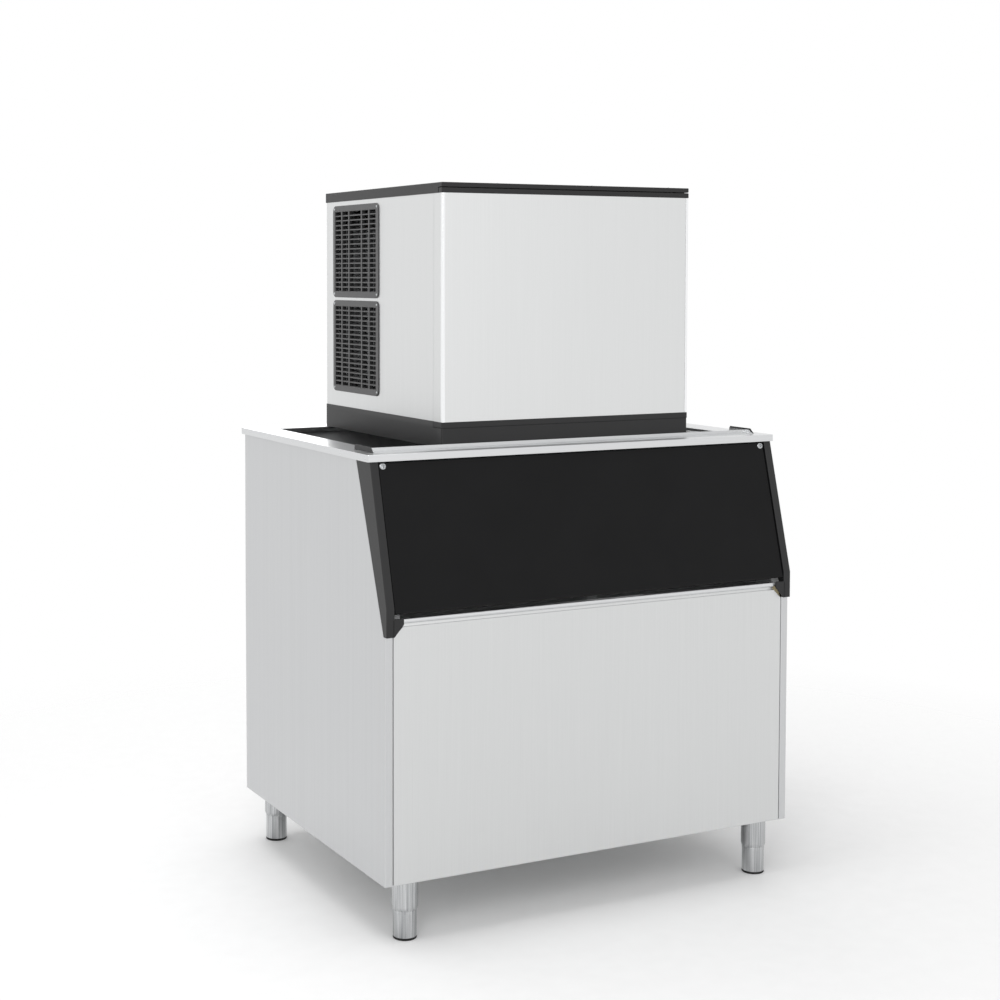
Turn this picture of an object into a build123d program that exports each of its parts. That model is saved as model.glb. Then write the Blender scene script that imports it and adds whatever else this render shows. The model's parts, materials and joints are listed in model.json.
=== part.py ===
# Modular ice cube machine: an insulated stainless storage bin on four legs, with a
# flap door in a black surround, and the ice-making head seated on the bin's rim.
# Each sub-assembly is drawn in its own frame: x to the right, y from front to back,
# z up. The bin starts at the cabinet's underside and the front panel's face, and the
# head at the rim it rests on and the face of its front cover.
from build123d import *
import math
import os

# Storage bin, overall
BIN_W = 1230.0
BIN_D = 940.0
BIN_H = 1060.0
LEG_H = 150.0
SHEET = 1.5
SEAT_GAP = 0.3

# Insulation and liner
FOAM_SIDE = 42.0
FOAM_FRONT = 37.5
FOAM_FLOOR = 42.0
LINER_T = 3.0
LINER_R = 45.0
LINER_FLANGE = 20.0

# Rim on top of the cabinet
RIM_OVER = 8.0
RIM_LIP = 18.0
RIM_T = 1.5
RIM_SIDE = 74.0
RIM_FRONT = 120.0
RIM_BACK = 74.0
RIM_INNER_LIP = 14.0
FRONT_SET = 80.0
RIM_CORNER_R = 4.0

# Cabinet corners and front panel
FLANGE = 22.0
FLANGE_DEEP = 6.0
REAR_FLANGE = 20.0
PANEL_GAP = 2.0
WING = 16.0
FOOT_FOLD = 9.0
ROLL_R = 7.0
ROLL_PROUD = 3.0

# Door, its surround and its hinge
DOOR_TILT = 15.0
TRIM_W = 22.0
TRIM_PROUD = 10.0
TRIM_WALL = 2.5
TRIM_FOOT_Z = 620.0
TRIM_KINK_Z = 690.0
TRIM_REAR_Y = 8.0
TRIM_TOP_DEEP = 84.0
WEB_W = 26.0
WEB_TOP_Z = 665.0
WEB_SIDE_Z = 650.0
DOOR_T = 24.0
DOOR_RECESS = 3.0
DOOR_SIDE_GAP = 2.0
DOOR_SILL_GAP = 6.0
DOOR_EDGE_R = 3.0
DOOR_STOP_GAP = 1.0
DOOR_OVER_PIVOT = 14.0
PIVOT_UNDER_LIP = 18.5
PIN_R = 5.0
PIN_IN_DOOR = 18.0
PIN_CLEAR = 0.05
PIN_END_CLEAR = 1.0
CAP_R = 9.0
CAP_T = 2.5
CAP_IN = 11.0
CAP_UP = 4.0
SWING_CLEAR = 1.1
CAP_SHANK_R = 3.0
CAP_SHANK = 5.0
BRACKET_T = 3.0
BRACKET_LONG = 120.0
BRACKET_TALL = 34.0

# Channel behind the door, and the stop that locates the head on the rim
HEADER_BEHIND = 45.0
HEADER_DEEP = 25.0
HEADER_TALL = 38.0
STOP_SET = 70.0
STOP_TALL = 10.0
STOP_FOOT = 26.0
EAR_IN = 29.0
EAR_LONG = 80.0
EAR_LEAN = 16.0
EAR_T = 2.0
EAR_COVER_T = 4.0
EAR_COVER_TALL = 13.5

# Legs
LEG_IN_X = 76.0
LEG_IN_Y = 44.0
SLEEVE_R = 33.5
SLEEVE_WALL = 2.5
SLEEVE_TALL = 78.0
SLEEVE_TOP = 4.0
SLEEVE_BOTTOM = 8.0
FOOT_R = 30.0
FOOT_STEP_R = 30.6
SLEEVE_CRIMP = 2.6
SLEEVE_CRIMP_TALL = 8.0
STEM_R = 8.0
STEM_CLEAR = 0.05
STEM_IN = 42.0
FOOT_SEAT_GAP = 0.3
PAD_TALL = 5.0
STUD_R = 6.0
STUD_TALL = 14.0
NUT_R = 12.0
NUT_T = 8.0

# Bin drain
DRAIN_R = 17.0
DRAIN_BORE = 13.0
DRAIN_BACK = 150.0

# Head, overall
HEAD_W = 762.0
HEAD_D = 735.0
HEAD_H = 680.0
BASE_H = 66.0
FASCIA_H = 50.0
TOP_H = 27.0
SKIN_IN = 2.0
BASE_WALL = 4.0
DECK_T = 4.0
TOP_T = 2.0
HEAD_CORNER_R = 5.0

# Front cover of the head
COVER_D = 48.0
CAP_TALL = 13.5
CAP_DEEP = 19.0
GROOVE = 1.5
STRIP_W = 8.0
STRIP_PROUD = 0.8

# Side grilles
GRILLE_W = 304.0
GRILLE_TOP_GAP = 12.0
GRILLE_Y = 376.0
GRILLE_LOW_Z = 109.0
GRILLE_SPACE = 8.0
GRILLE_PROUD = 3.0
GRILLE_R = 16.0
GRILLE_BORDER = 16.0
GRILLE_RIB = 8.0
GRILLE_ROWS = 17
LOUVRE_T = 4.0
COLUMN_SHARE = (0.17, 0.17, 0.32, 0.17, 0.17)
SCREW_IN = 10.0
SCREW_R = 3.5
SCREW_SHANK_R = 1.9
SCREW_HEAD = 1.6

# Rear sheet: warm-air slots, water inlet and cable gland
VENT_IN = 40.0
VENT_W = 260.0
VENT_H = 9.0
VENT_STEP = 28.0
VENT_LOW = 215.0
VENT_TOP_GAP = 100.0
INLET_X = 320.0
INLET_Z = 480.0
INLET_R = 9.0
GLAND_X = 250.0
GLAND_Z = 150.0
GLAND_R = 10.0
SERVICE_BORE = 5.0
SERVICE_NUT_R = 15.0

# Inside of the head
PARTITION_X = -30.0
PARTITION_T = 1.5
DROP_X0 = 10.0
DROP_X1 = 350.0
DROP_Y0 = 270.0
DROP_Y1 = 455.0
COLLAR_T = 3.0
COLLAR_TALL = 22.0
COMP_R = 82.0
COMP_TALL = 190.0
COMP_PLATE = (190.0, 150.0)
COMP_FOOT = (156.0, 116.0)
COMP_CORNER = 45.0
COMP_X = -225.0
COMP_Y = 195.0
STUB_IN = 30.0
STUB_BACK = 20.0
STUB_TALL = 40.0
DRIER_R = 14.0
GROMMET_R = 14.0
GROMMET_TALL = 16.0
COIL_D = 290.0
COIL_H = 500.0
COIL_T = 44.0
COIL_TUBE_R = 5.0
COIL_ROWS = 10
COIL_TAIL = 4.0
COIL_LIFT = 70.0
FIN_STEP = 14.0
FAN_R = 120.0
FAN_RING_CLEAR = 8.0
FAN_BLADES = 5
SHAFT_R = 4.0
SHAFT_CLEAR = 0.05
SHROUD_T = 1.5
MOTOR_REACH = 62.0
MOTOR_R = 42.0
MOTOR_LONG = 60.0
EVAP_W = 320.0
EVAP_H = 360.0
EVAP_T = 26.0
EVAP_Y = 480.0
EVAP_Z = 190.0
EVAP_CELLS = 11
EVAP_WALL = 2.0
FRAME_W = 14.0
CURTAIN_T = 2.5
CURTAIN_GAP = 14.0
CURTAIN_PIN_R = 3.0
TUBE_R = 10.0
TROUGH_WALL = 3.0
TROUGH_TALL = 70.0
TANK_BACK = 190.0
PUMP_R = 32.0
BOX_W = 210.0
BOX_D = 70.0
BOX_H = 190.0
BOX_T = 1.5

# Worked out from the sizes above
X_OUT = BIN_W / 2
X_IN = X_OUT - SHEET
Z_RIM = BIN_H
Z_UNDER_RIM = BIN_H - RIM_T
REAR_Y = BIN_D
REAR_IN_Y = BIN_D - 2 * SHEET
PAN_Z = SHEET
PAN_TOP = PAN_Z + SHEET
SLOPE = math.tan(math.radians(DOOR_TILT))
LINER_X = X_IN - FOAM_SIDE
LINER_Y0 = FLANGE_DEEP + SHEET + FOAM_FRONT
LINER_Y1 = REAR_IN_Y - FOAM_SIDE
LINER_Z = PAN_TOP + FOAM_FLOOR
OPEN_X = X_OUT - RIM_SIDE
OPEN_Y0 = FRONT_SET + RIM_FRONT
OPEN_Y1 = BIN_D - RIM_BACK
FRAME_X = X_OUT - TRIM_W
LIP_Z = BIN_H - RIM_LIP
PIVOT_Z = LIP_Z - PIVOT_UNDER_LIP
DOOR_Z = WEB_TOP_Z + DOOR_SILL_GAP
STOP_Y = FRONT_SET + STOP_SET
HEAD_Y = STOP_Y + 0.5
PANEL_TOP = WEB_SIDE_Z
Y_SHIFT = -(BIN_D + RIM_OVER - TRIM_PROUD) / 2


def box(x0, x1, y0, y1, z0, z1):
    return Pos((x0 + x1) / 2, (y0 + y1) / 2, (z0 + z1) / 2) * Box(x1 - x0, y1 - y0, z1 - z0)


def prism_x(points, x0, x1):
    """A side-view outline of (y, z) points, drawn through the width."""
    face = make_face(Plane.YZ * Polyline(*points, close=True))
    return Pos(x0, 0, 0) * extrude(face, amount=x1 - x0, dir=(1, 0, 0))


def prism_y(points, y0, y1):
    """A front-view outline of (x, z) points, drawn through the depth."""
    face = make_face(Plane.XZ * Polyline(*points, close=True))
    return Pos(0, y0, 0) * extrude(face, amount=y1 - y0, dir=(0, 1, 0))


def rod(axis, a, b, start, end, radius):
    """A round bar along x, y or z: a and b place its axis in the other two."""
    length = end - start
    mid = (start + end) / 2
    if axis == "x":
        return Pos(mid, a, b) * Rot(0, 90, 0) * Cylinder(radius, length)
    if axis == "y":
        return Pos(a, mid, b) * Rot(90, 0, 0) * Cylinder(radius, length)
    return Pos(a, b, mid) * Cylinder(radius, length)


def pipe(axis, a, b, start, end, radius, bore):
    return rod(axis, a, b, start, end, radius) - rod(axis, a, b, start - 1, end + 1, bore)


def round_block(x0, x1, y0, y1, z0, z1, radius):
    """An upright block with rounded vertical corners."""
    block = box(x0, x1, y0, y1, z0, z1)
    return fillet(block.edges().filter_by(Axis.Z), radius)


def mirrored(shape):
    return mirror(shape, about=Plane.YZ)


def front_line(z, behind=0.0):
    """y of the surround's sloping face at height z, or of a plane that far behind it."""
    return -TRIM_PROUD + (z - TRIM_KINK_Z) * SLOPE + behind / math.cos(math.radians(DOOR_TILT))


def edge_line(z):
    """y of the side panel's sloping front edge at height z."""
    top_y = front_line(Z_UNDER_RIM) + TRIM_TOP_DEEP
    share = (z - TRIM_FOOT_Z) / (Z_UNDER_RIM - TRIM_FOOT_Z)
    return TRIM_REAR_Y + (top_y - TRIM_REAR_Y) * share


PIVOT_Y = front_line(PIVOT_Z, DOOR_RECESS + DOOR_T / 2)


# Cabinet sheets
def side_panel():
    """Right-hand side: sloping front edge, boxed front flange, rear and bottom flanges."""
    top = Z_UNDER_RIM
    outline = [
        (0, 0),
        (REAR_Y, 0),
        (REAR_Y, top),
        (edge_line(top), top),
        (TRIM_REAR_Y, TRIM_FOOT_Z),
        (0, TRIM_FOOT_Z),
    ]
    panel = prism_x(outline, X_IN, X_OUT)
    inner = X_OUT - FLANGE
    panel += box(inner, X_OUT, 0, SHEET, 0, TRIM_FOOT_Z)
    panel += box(inner, inner + SHEET, 0, FLANGE_DEEP, PAN_TOP, TRIM_FOOT_Z)
    panel += box(X_OUT - REAR_FLANGE, X_OUT, REAR_Y - SHEET, REAR_Y, 0, top)
    panel += box(inner, X_OUT, 0, REAR_Y, 0, SHEET)
    return panel


def rear_panel():
    x = X_IN
    y = REAR_IN_Y
    return box(-x, x, y, y + SHEET, SHEET, Z_UNDER_RIM)


def leg_spots():
    spots = {}
    for side, x in (("left", -(X_OUT - LEG_IN_X)), ("right", X_OUT - LEG_IN_X)):
        spots["front_" + side] = (x, LEG_IN_Y)
        spots["rear_" + side] = (x, BIN_D - LEG_IN_Y)
    return spots


def base_pan():
    pan = box(-X_IN, X_IN, SHEET, REAR_IN_Y, PAN_Z, PAN_TOP)
    for x, y in leg_spots().values():
        pan -= rod("z", x, y, 0, PAN_TOP + 1, STUD_R + SEAT_GAP)
    pan -= rod("z", 0, BIN_D - DRAIN_BACK, 0, PAN_TOP + 1, DRAIN_R + SEAT_GAP)
    return pan


def front_panel():
    """Front sheet with cut upper corners, joggled side wings and a rolled sill on top."""
    edge = X_OUT - FLANGE - PANEL_GAP
    cut = WEB_W + TRIM_W - (X_OUT - edge) + PANEL_GAP
    outline = [
        (-edge, 0),
        (edge, 0),
        (edge, TRIM_FOOT_Z - PANEL_GAP),
        (edge - cut, PANEL_TOP - PANEL_GAP),
        (edge - cut, PANEL_TOP + ROLL_R),
        (-edge + cut, PANEL_TOP + ROLL_R),
        (-edge + cut, PANEL_TOP - PANEL_GAP),
        (-edge, TRIM_FOOT_Z - PANEL_GAP),
    ]
    panel = prism_y(outline, 0, SHEET)
    wing_top = TRIM_FOOT_Z - PANEL_GAP
    for side in (-1, 1):
        inner, outer = sorted((side * (edge - SHEET), side * edge))
        panel += box(inner, outer, 0, FLANGE_DEEP + SHEET, PAN_TOP, wing_top)
        inner, outer = sorted((side * (edge - SHEET), side * (edge + WING)))
        panel += box(inner, outer, FLANGE_DEEP, FLANGE_DEEP + SHEET, PAN_TOP, wing_top)
    panel += box(-edge, edge, 0, FOOT_FOLD, 0, SHEET)
    end = edge - cut
    roll_y = ROLL_R - ROLL_PROUD
    roll_z = PANEL_TOP + ROLL_R
    roll = rod("x", roll_y, roll_z, -end, end, ROLL_R)
    roll -= rod("x", roll_y, roll_z, -end - 1, end + 1, ROLL_R - SHEET)
    roll += box(-end, end, 0, SHEET, PANEL_TOP - 1, PANEL_TOP + 1.5)
    sill_back = front_line(PANEL_TOP, DOOR_RECESS + DOOR_T + DOOR_STOP_GAP)
    roll += box(-end, end, roll_y, sill_back + 12, PANEL_TOP, PANEL_TOP + SHEET)
    panel -= box(-end, end, -1, SHEET + 1, PANEL_TOP + 1.5, roll_z + ROLL_R + 1)
    return panel + roll


def liner_solid(grow):
    """Outside of the liner, bigger by grow at its walls."""
    radius = LINER_R + LINER_T + grow
    tub = round_block(-LINER_X - grow, LINER_X + grow, LINER_Y0 - grow, LINER_Y1 + grow,
                      LINER_Z, Z_UNDER_RIM, radius)
    return tub


def liner():
    """Moulded tub: floor, four walls, door throat, sill and flanges under the rim."""
    plane = DOOR_RECESS + DOOR_T + DOOR_STOP_GAP
    sill = PANEL_TOP + SHEET
    top = Z_UNDER_RIM
    throat_back = LINER_Y0 + 140

    def throat(x, behind, low):
        points = [
            (front_line(low, behind), low),
            (throat_back, low),
            (throat_back, top + 1),
            (front_line(top + 1, behind), top + 1),
        ]
        return prism_x(points, -x, x)

    tub = liner_solid(0)
    inside_x = LINER_X - LINER_T
    hollow = round_block(-inside_x, inside_x, LINER_Y0 + LINER_T, LINER_Y1 - LINER_T,
                         LINER_Z + LINER_T, top + 1, LINER_R)
    shell = tub + throat(LINER_X, plane, sill) - hollow - throat(inside_x, plane - 5, sill + LINER_T)
    over = top + 2
    ahead = [(-100, sill), (front_line(sill, plane), sill), (front_line(over, plane), over), (-100, over)]
    shell -= prism_x(ahead, -X_OUT, X_OUT)
    shell -= box(-X_OUT, X_OUT, 0, BIN_D, top, top + 5)
    jamb = [
        (front_line(sill, plane), sill),
        (front_line(sill, plane + LINER_T), sill),
        (front_line(top, plane + LINER_T), top),
        (front_line(top, plane), top),
    ]
    flange_x = FRAME_X - 0.5
    for side in (-1, 1):
        inner, outer = sorted((side * inside_x, side * flange_x))
        shell += prism_x(jamb, inner, outer)
    sill_y = front_line(sill, plane)
    shell += box(-LINER_X, LINER_X, sill_y, LINER_Y0 + 1, sill, sill + LINER_T)
    rim_flange = box(-LINER_X - LINER_FLANGE, LINER_X + LINER_FLANGE, edge_line(top) + 1,
                     LINER_Y1 + LINER_FLANGE, top - LINER_T, top)
    rim_flange -= round_block(-LINER_X + 1, LINER_X - 1, 0, LINER_Y1 - 1, top - LINER_T - 1, top + 1, LINER_R)
    shell += rim_flange
    sweep = math.hypot(DOOR_OVER_PIVOT, DOOR_T / 2) + SWING_CLEAR
    shell -= rod("x", PIVOT_Y, PIVOT_Z, -X_OUT, X_OUT, sweep)
    roll_back = 2 * ROLL_R - ROLL_PROUD + SEAT_GAP
    shell -= box(-X_OUT, X_OUT, -50, roll_back, 0, PANEL_TOP + 2 * ROLL_R + SEAT_GAP)
    shell -= rod("z", 0, BIN_D - DRAIN_BACK, 0, LINER_Z + LINER_T + 1, DRAIN_R + SEAT_GAP)
    return shell


def foam():
    """Insulation foamed in place between the sheets and the liner."""
    top = Z_UNDER_RIM - LINER_T
    front = TRIM_REAR_Y + SHEET
    sill = PANEL_TOP
    body = box(-X_IN, X_IN, front, REAR_IN_Y, PAN_TOP, top)
    for low, x in ((sill, 0), (TRIM_FOOT_Z, FRAME_X - 1)):
        ahead = [(-1, low), (edge_line(low) + 1, low), (edge_line(top + 1) + 1, top + 1), (-1, top + 1)]
        for side in (-1, 1):
            inner, outer = sorted((side * x, side * X_OUT))
            body -= prism_x(ahead, inner, outer)
    pocket = hinge_bracket().bounding_box()
    pocket = box(X_IN - BRACKET_T - SEAT_GAP, X_OUT, pocket.min.Y, pocket.max.Y + SEAT_GAP,
                 pocket.min.Z - SEAT_GAP, pocket.max.Z + SEAT_GAP)
    body -= pocket
    body -= mirrored(pocket)
    body -= liner_solid(SEAT_GAP)
    body -= box(-LINER_X - SEAT_GAP, LINER_X + SEAT_GAP, 0, LINER_Y0 + 145, sill, top + 1)
    for x, y in leg_spots().values():
        body -= rod("z", x, y, 0, PAN_TOP + STUD_TALL + 2, NUT_R + 2)
    body -= rod("z", 0, BIN_D - DRAIN_BACK, 0, LINER_Z + 1, DRAIN_R + SEAT_GAP)
    return body


def rim():
    """Top frame: outer lip all round, short inner lip, and the channel behind the door's top."""
    x = X_OUT + RIM_OVER
    y0 = FRONT_SET
    y1 = BIN_D + RIM_OVER
    outer = round_block(-x, x, y0, y1, LIP_Z, Z_RIM, RIM_CORNER_R)
    inner = round_block(-x + RIM_T, x - RIM_T, y0 + RIM_T, y1 - RIM_T, LIP_Z - 1, Z_UNDER_RIM,
                        RIM_CORNER_R - RIM_T)
    frame = outer - inner
    lip = box(-OPEN_X - RIM_T, OPEN_X + RIM_T, OPEN_Y0 - RIM_T, OPEN_Y1 + RIM_T,
              Z_RIM - RIM_INNER_LIP, Z_UNDER_RIM)
    frame += lip
    frame -= box(-OPEN_X, OPEN_X, OPEN_Y0, OPEN_Y1, LIP_Z - 10, Z_RIM + 1)
    header_y = y0 + HEADER_BEHIND
    header_x = LINER_X - LINER_T - SEAT_GAP
    header_z = Z_UNDER_RIM - HEADER_TALL
    channel = box(-header_x, header_x, header_y, header_y + HEADER_DEEP, header_z, Z_UNDER_RIM)
    channel -= box(-X_OUT, X_OUT, header_y + SHEET, header_y + HEADER_DEEP - SHEET,
                   header_z + SHEET, Z_UNDER_RIM)
    return frame + channel


# Stop bar and ears on the rim
def ear_outline(tall):
    y0 = STOP_Y - STOP_FOOT
    y1 = STOP_Y + EAR_LONG
    return [(y0, Z_RIM), (y1, Z_RIM), (y1, Z_RIM + tall), (y0 + EAR_LEAN, Z_RIM + tall)]


def stop_bar():
    """Low angle across the rim, its ends folded back as upright ears."""
    x = X_OUT - EAR_IN
    bar = box(-x, x, STOP_Y - SHEET, STOP_Y, Z_RIM, Z_RIM + STOP_TALL)
    bar += box(-x, x, STOP_Y - STOP_FOOT, STOP_Y, Z_RIM, Z_RIM + SHEET)
    ear = prism_x(ear_outline(STOP_TALL), x - EAR_T, x)
    return bar + ear + mirrored(ear)


def ear_cover():
    x = X_OUT - EAR_IN
    return prism_x(ear_outline(EAR_COVER_TALL), x, x + EAR_COVER_T)


# Door surround and hinge
def door_trim():
    """Right-hand moulding: hollow wedge with a web foot under the sill's end."""
    top = Z_UNDER_RIM
    outline = [
        (-TRIM_PROUD, TRIM_FOOT_Z),
        (-TRIM_PROUD, TRIM_KINK_Z),
        (front_line(top), top),
        (edge_line(top), top),
        (TRIM_REAR_Y, TRIM_FOOT_Z),
    ]
    trim = prism_x(outline, FRAME_X, X_OUT)
    wall = TRIM_WALL
    hollow = [
        (-TRIM_PROUD + wall, TRIM_FOOT_Z + wall),
        (-TRIM_PROUD + wall, TRIM_KINK_Z),
        (front_line(top - wall, wall), top - wall),
        (edge_line(top) + 10, top - wall),
        (TRIM_REAR_Y + 10, TRIM_FOOT_Z + wall),
    ]
    trim -= prism_x(hollow, FRAME_X + SHEET, X_OUT - SHEET)
    web = [
        (FRAME_X + 1, TRIM_FOOT_Z),
        (FRAME_X, TRIM_FOOT_Z),
        (FRAME_X - WEB_W, WEB_SIDE_Z),
        (FRAME_X - WEB_W, WEB_TOP_Z),
        (FRAME_X + 1, WEB_TOP_Z),
    ]
    trim += prism_y(web, -TRIM_PROUD, -TRIM_PROUD + 2 * wall)
    trim -= rod("x", PIVOT_Y, PIVOT_Z, FRAME_X - 5, FRAME_X + 5, PIN_R + 0.5)
    return trim


def hinge_bracket():
    """Steel plate on the inside of the side panel, with the hinge pin welded on."""
    y0 = PIVOT_Y - PIN_R - 4
    z0 = PIVOT_Z - BRACKET_TALL / 2
    x1 = X_OUT - SHEET
    plate = box(x1 - BRACKET_T, x1, y0, y0 + BRACKET_LONG, z0, z0 + BRACKET_TALL)
    z1 = z0 + BRACKET_TALL
    low, high = z0 - 1, z1 + 1
    behind = TRIM_WALL + 1
    near = [(0, low), (front_line(low, behind), low), (front_line(high, behind), high), (0, high)]
    plate -= prism_x(near, 0, X_OUT)
    pin = rod("x", PIVOT_Y, PIVOT_Z, FRAME_X - DOOR_SIDE_GAP - PIN_IN_DOOR, x1 - BRACKET_T + 1, PIN_R)
    return plate + pin


def door_half_width():
    return FRAME_X - DOOR_SIDE_GAP


def in_door_plane(shape):
    """Turns a shape drawn about the pivot, upright, into the door's sloping plane."""
    return Pos(0, PIVOT_Y, PIVOT_Z) * Rot(-DOOR_TILT, 0, 0) * shape


def door():
    """One moulded leaf, with a finger recess along its lower edge on the inside."""
    half = door_half_width()
    long = (PIVOT_Z - DOOR_Z) / math.cos(math.radians(DOOR_TILT)) - DOOR_T / 2 * SLOPE
    leaf = box(-half, half, -DOOR_T / 2, DOOR_T / 2, -long, DOOR_OVER_PIVOT)
    leaf = fillet(leaf.edges().filter_by(Axis.Y), DOOR_EDGE_R)
    leaf = fillet(leaf.faces().sort_by(Axis.Y)[0].edges(), DOOR_EDGE_R - 1)
    grip = box(-half / 4, half / 4, DOOR_T / 2 - 12, DOOR_T, -long - 1, -long + 16)
    leaf -= grip
    for side in (-1, 1):
        bore = rod("x", 0, 0, half - PIN_IN_DOOR - PIN_END_CLEAR, half + 1, PIN_R + PIN_CLEAR)
        if side < 0:
            bore = mirrored(bore)
        leaf -= bore
        face = -DOOR_T / 2
        leaf -= rod("y", side * (half - CAP_IN), CAP_UP, face - 1, face + CAP_SHANK, CAP_SHANK_R)
    return in_door_plane(leaf)


def door_caps():
    """Two chrome screws with round heads at the door's top corners."""
    half = door_half_width()
    face = -DOOR_T / 2
    caps = []
    for side in (-1, 1):
        x = side * (half - CAP_IN)
        head = rod("y", x, CAP_UP, face - CAP_T, face, CAP_R)
        head = fillet(head.edges().sort_by(Axis.Y)[0], CAP_T - 0.8)
        shank = rod("y", x, CAP_UP, face - 0.5, face + CAP_SHANK - 0.5, CAP_SHANK_R - 0.02)
        caps.append(in_door_plane(head + shank))
    return caps


# Legs
def leg_sleeve(x, y):
    top = PAN_Z
    low = top - SLEEVE_TALL
    tube = rod("z", x, y, low, top, SLEEVE_R)
    tube = chamfer(tube.edges().sort_by(Axis.Z)[0], SLEEVE_CRIMP_TALL, SLEEVE_CRIMP)
    tube -= rod("z", x, y, low + SLEEVE_BOTTOM, top - SLEEVE_TOP, SLEEVE_R - SLEEVE_WALL)
    tube -= rod("z", x, y, low - 1, low + SLEEVE_BOTTOM + 1, STEM_R + STEM_CLEAR)
    tube += rod("z", x, y, top - 1, top + STUD_TALL, STUD_R)
    return tube + rod("z", x, y, PAN_TOP, PAN_TOP + NUT_T, NUT_R)


def leg_foot(x, y):
    """Screw foot with its moulded-on pad; its stem turns in the sleeve's floor."""
    top = PAN_Z - SLEEVE_TALL - FOOT_SEAT_GAP
    foot = rod("z", x, y, -LEG_H, top, FOOT_R)
    foot = chamfer(foot.edges().sort_by(Axis.Z)[0], 1.5)
    foot += rod("z", x, y, top - 7, top, FOOT_STEP_R)
    foot += rod("z", x, y, -LEG_H + 1.5, -LEG_H + PAD_TALL, FOOT_R + 0.6)
    return foot + rod("z", x, y, top - 1, top + STEM_IN, STEM_R)


def bin_drain():
    """Drain tube through the floor, turned to the back under the pan."""
    y = BIN_D - DRAIN_BACK
    drop = -34.0
    tube = pipe("z", 0, y, drop, LINER_Z + LINER_T, DRAIN_R, DRAIN_BORE)
    elbow = rod("y", 0, drop, y - DRAIN_R, BIN_D - 40, DRAIN_R)
    elbow += rod("y", 0, drop, BIN_D - 62, BIN_D - 40, DRAIN_R + 3)
    tube = elbow + tube
    tube -= rod("y", 0, drop, y - DRAIN_R + 4, BIN_D - 39, DRAIN_BORE)
    tube -= rod("z", 0, y, drop, LINER_Z + LINER_T + 1, DRAIN_BORE)
    return tube


# Head casing
HX = HEAD_W / 2
SKIN_X = HX - SKIN_IN
SKIN_TOP = HEAD_H - TOP_H
SKIN_REAR = HEAD_D - SKIN_IN
GRILLE_H = (SKIN_TOP - GRILLE_TOP_GAP - GRILLE_LOW_Z - GRILLE_SPACE) / 2


def head_base():
    """Moulded base tray with the ice-drop opening and its collar; lower where the cover stands."""
    tray = round_block(-HX, HX, 0, HEAD_D, 0, BASE_H, HEAD_CORNER_R)
    tray -= box(-HX + BASE_WALL, HX - BASE_WALL, BASE_WALL, HEAD_D - BASE_WALL, DECK_T, BASE_H + 1)
    tray += box(DROP_X0 - COLLAR_T, DROP_X1 + COLLAR_T, DROP_Y0 - COLLAR_T, DROP_Y1 + COLLAR_T,
                0, DECK_T + COLLAR_TALL)
    tray -= box(DROP_X0, DROP_X1, DROP_Y0, DROP_Y1, -1, BASE_H)
    return tray - box(-HX - 1, HX + 1, -1, COVER_D + SEAT_GAP, FASCIA_H, BASE_H + 1)


def head_side(plain):
    """Stainless side sheet, flanged at the rear; the left one is cut for the grilles."""
    x0 = SKIN_X - SHEET
    panel = box(x0, SKIN_X, COVER_D + 1, SKIN_REAR, BASE_H, SKIN_TOP)
    panel += box(SKIN_X - REAR_FLANGE, SKIN_X, SKIN_REAR - SHEET, SKIN_REAR, BASE_H, SKIN_TOP)
    panel += box(SKIN_X - REAR_FLANGE, SKIN_X, COVER_D + 1, COVER_D + 1 + SHEET, BASE_H, SKIN_TOP)
    if plain:
        return panel
    for z in grille_heights():
        rim_in = GRILLE_BORDER - 4
        panel -= box(x0 - 1, SKIN_X + 1, GRILLE_Y + rim_in, GRILLE_Y + GRILLE_W - rim_in,
                     z + rim_in, z + GRILLE_H - rim_in)
        for y, hole_z in grille_screw_spots(z):
            panel -= rod("x", y, hole_z, x0 - 1, SKIN_X + 1, SCREW_SHANK_R + 0.1)
    return mirrored(panel)


def grille_heights():
    return (GRILLE_LOW_Z, GRILLE_LOW_Z + GRILLE_H + GRILLE_SPACE)


def grille_screw_spots(z):
    return [(GRILLE_Y + dy, z + dz)
            for dy in (SCREW_IN, GRILLE_W - SCREW_IN)
            for dz in (SCREW_IN, GRILLE_H - SCREW_IN)]


def grille(z):
    """Black louvre panel screwed over the side opening: five columns of slats."""
    x0 = SKIN_X
    frame = box(x0, x0 + GRILLE_PROUD, GRILLE_Y, GRILLE_Y + GRILLE_W, z, z + GRILLE_H)
    frame = fillet(frame.edges().filter_by(Axis.X), GRILLE_R)
    frame = chamfer(frame.faces().sort_by(Axis.X)[-1].edges(), 1.0)
    inside_w = GRILLE_W - 2 * GRILLE_BORDER
    inside_h = GRILLE_H - 2 * GRILLE_BORDER
    clear = inside_w - GRILLE_RIB * (len(COLUMN_SHARE) - 1)
    pitch = inside_h / GRILLE_ROWS
    y = GRILLE_Y + GRILLE_BORDER
    for share in COLUMN_SHARE:
        wide = clear * share
        frame -= box(x0 - 1, x0 + GRILLE_PROUD + 1, y, y + wide,
                     z + GRILLE_BORDER, z + GRILLE_H - GRILLE_BORDER)
        y += wide + GRILLE_RIB
    low, high = GRILLE_Y + GRILLE_BORDER - 1, GRILLE_Y + GRILLE_W - GRILLE_BORDER + 1
    slats = []
    for row in range(GRILLE_ROWS + 1):
        middle = z + GRILLE_BORDER + row * pitch
        half = LOUVRE_T / 2
        bottom = max(middle - half, z + GRILLE_BORDER - 1)
        top = min(middle + half, z + GRILLE_H - GRILLE_BORDER + 1)
        slats.append(box(x0, x0 + GRILLE_PROUD - 0.8, low, high, bottom, top))
    frame = frame + slats
    for y, hole_z in grille_screw_spots(z):
        frame -= rod("x", y, hole_z, x0 - 1, x0 + GRILLE_PROUD + 1, SCREW_SHANK_R + 0.1)
    return mirrored(frame)


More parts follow.
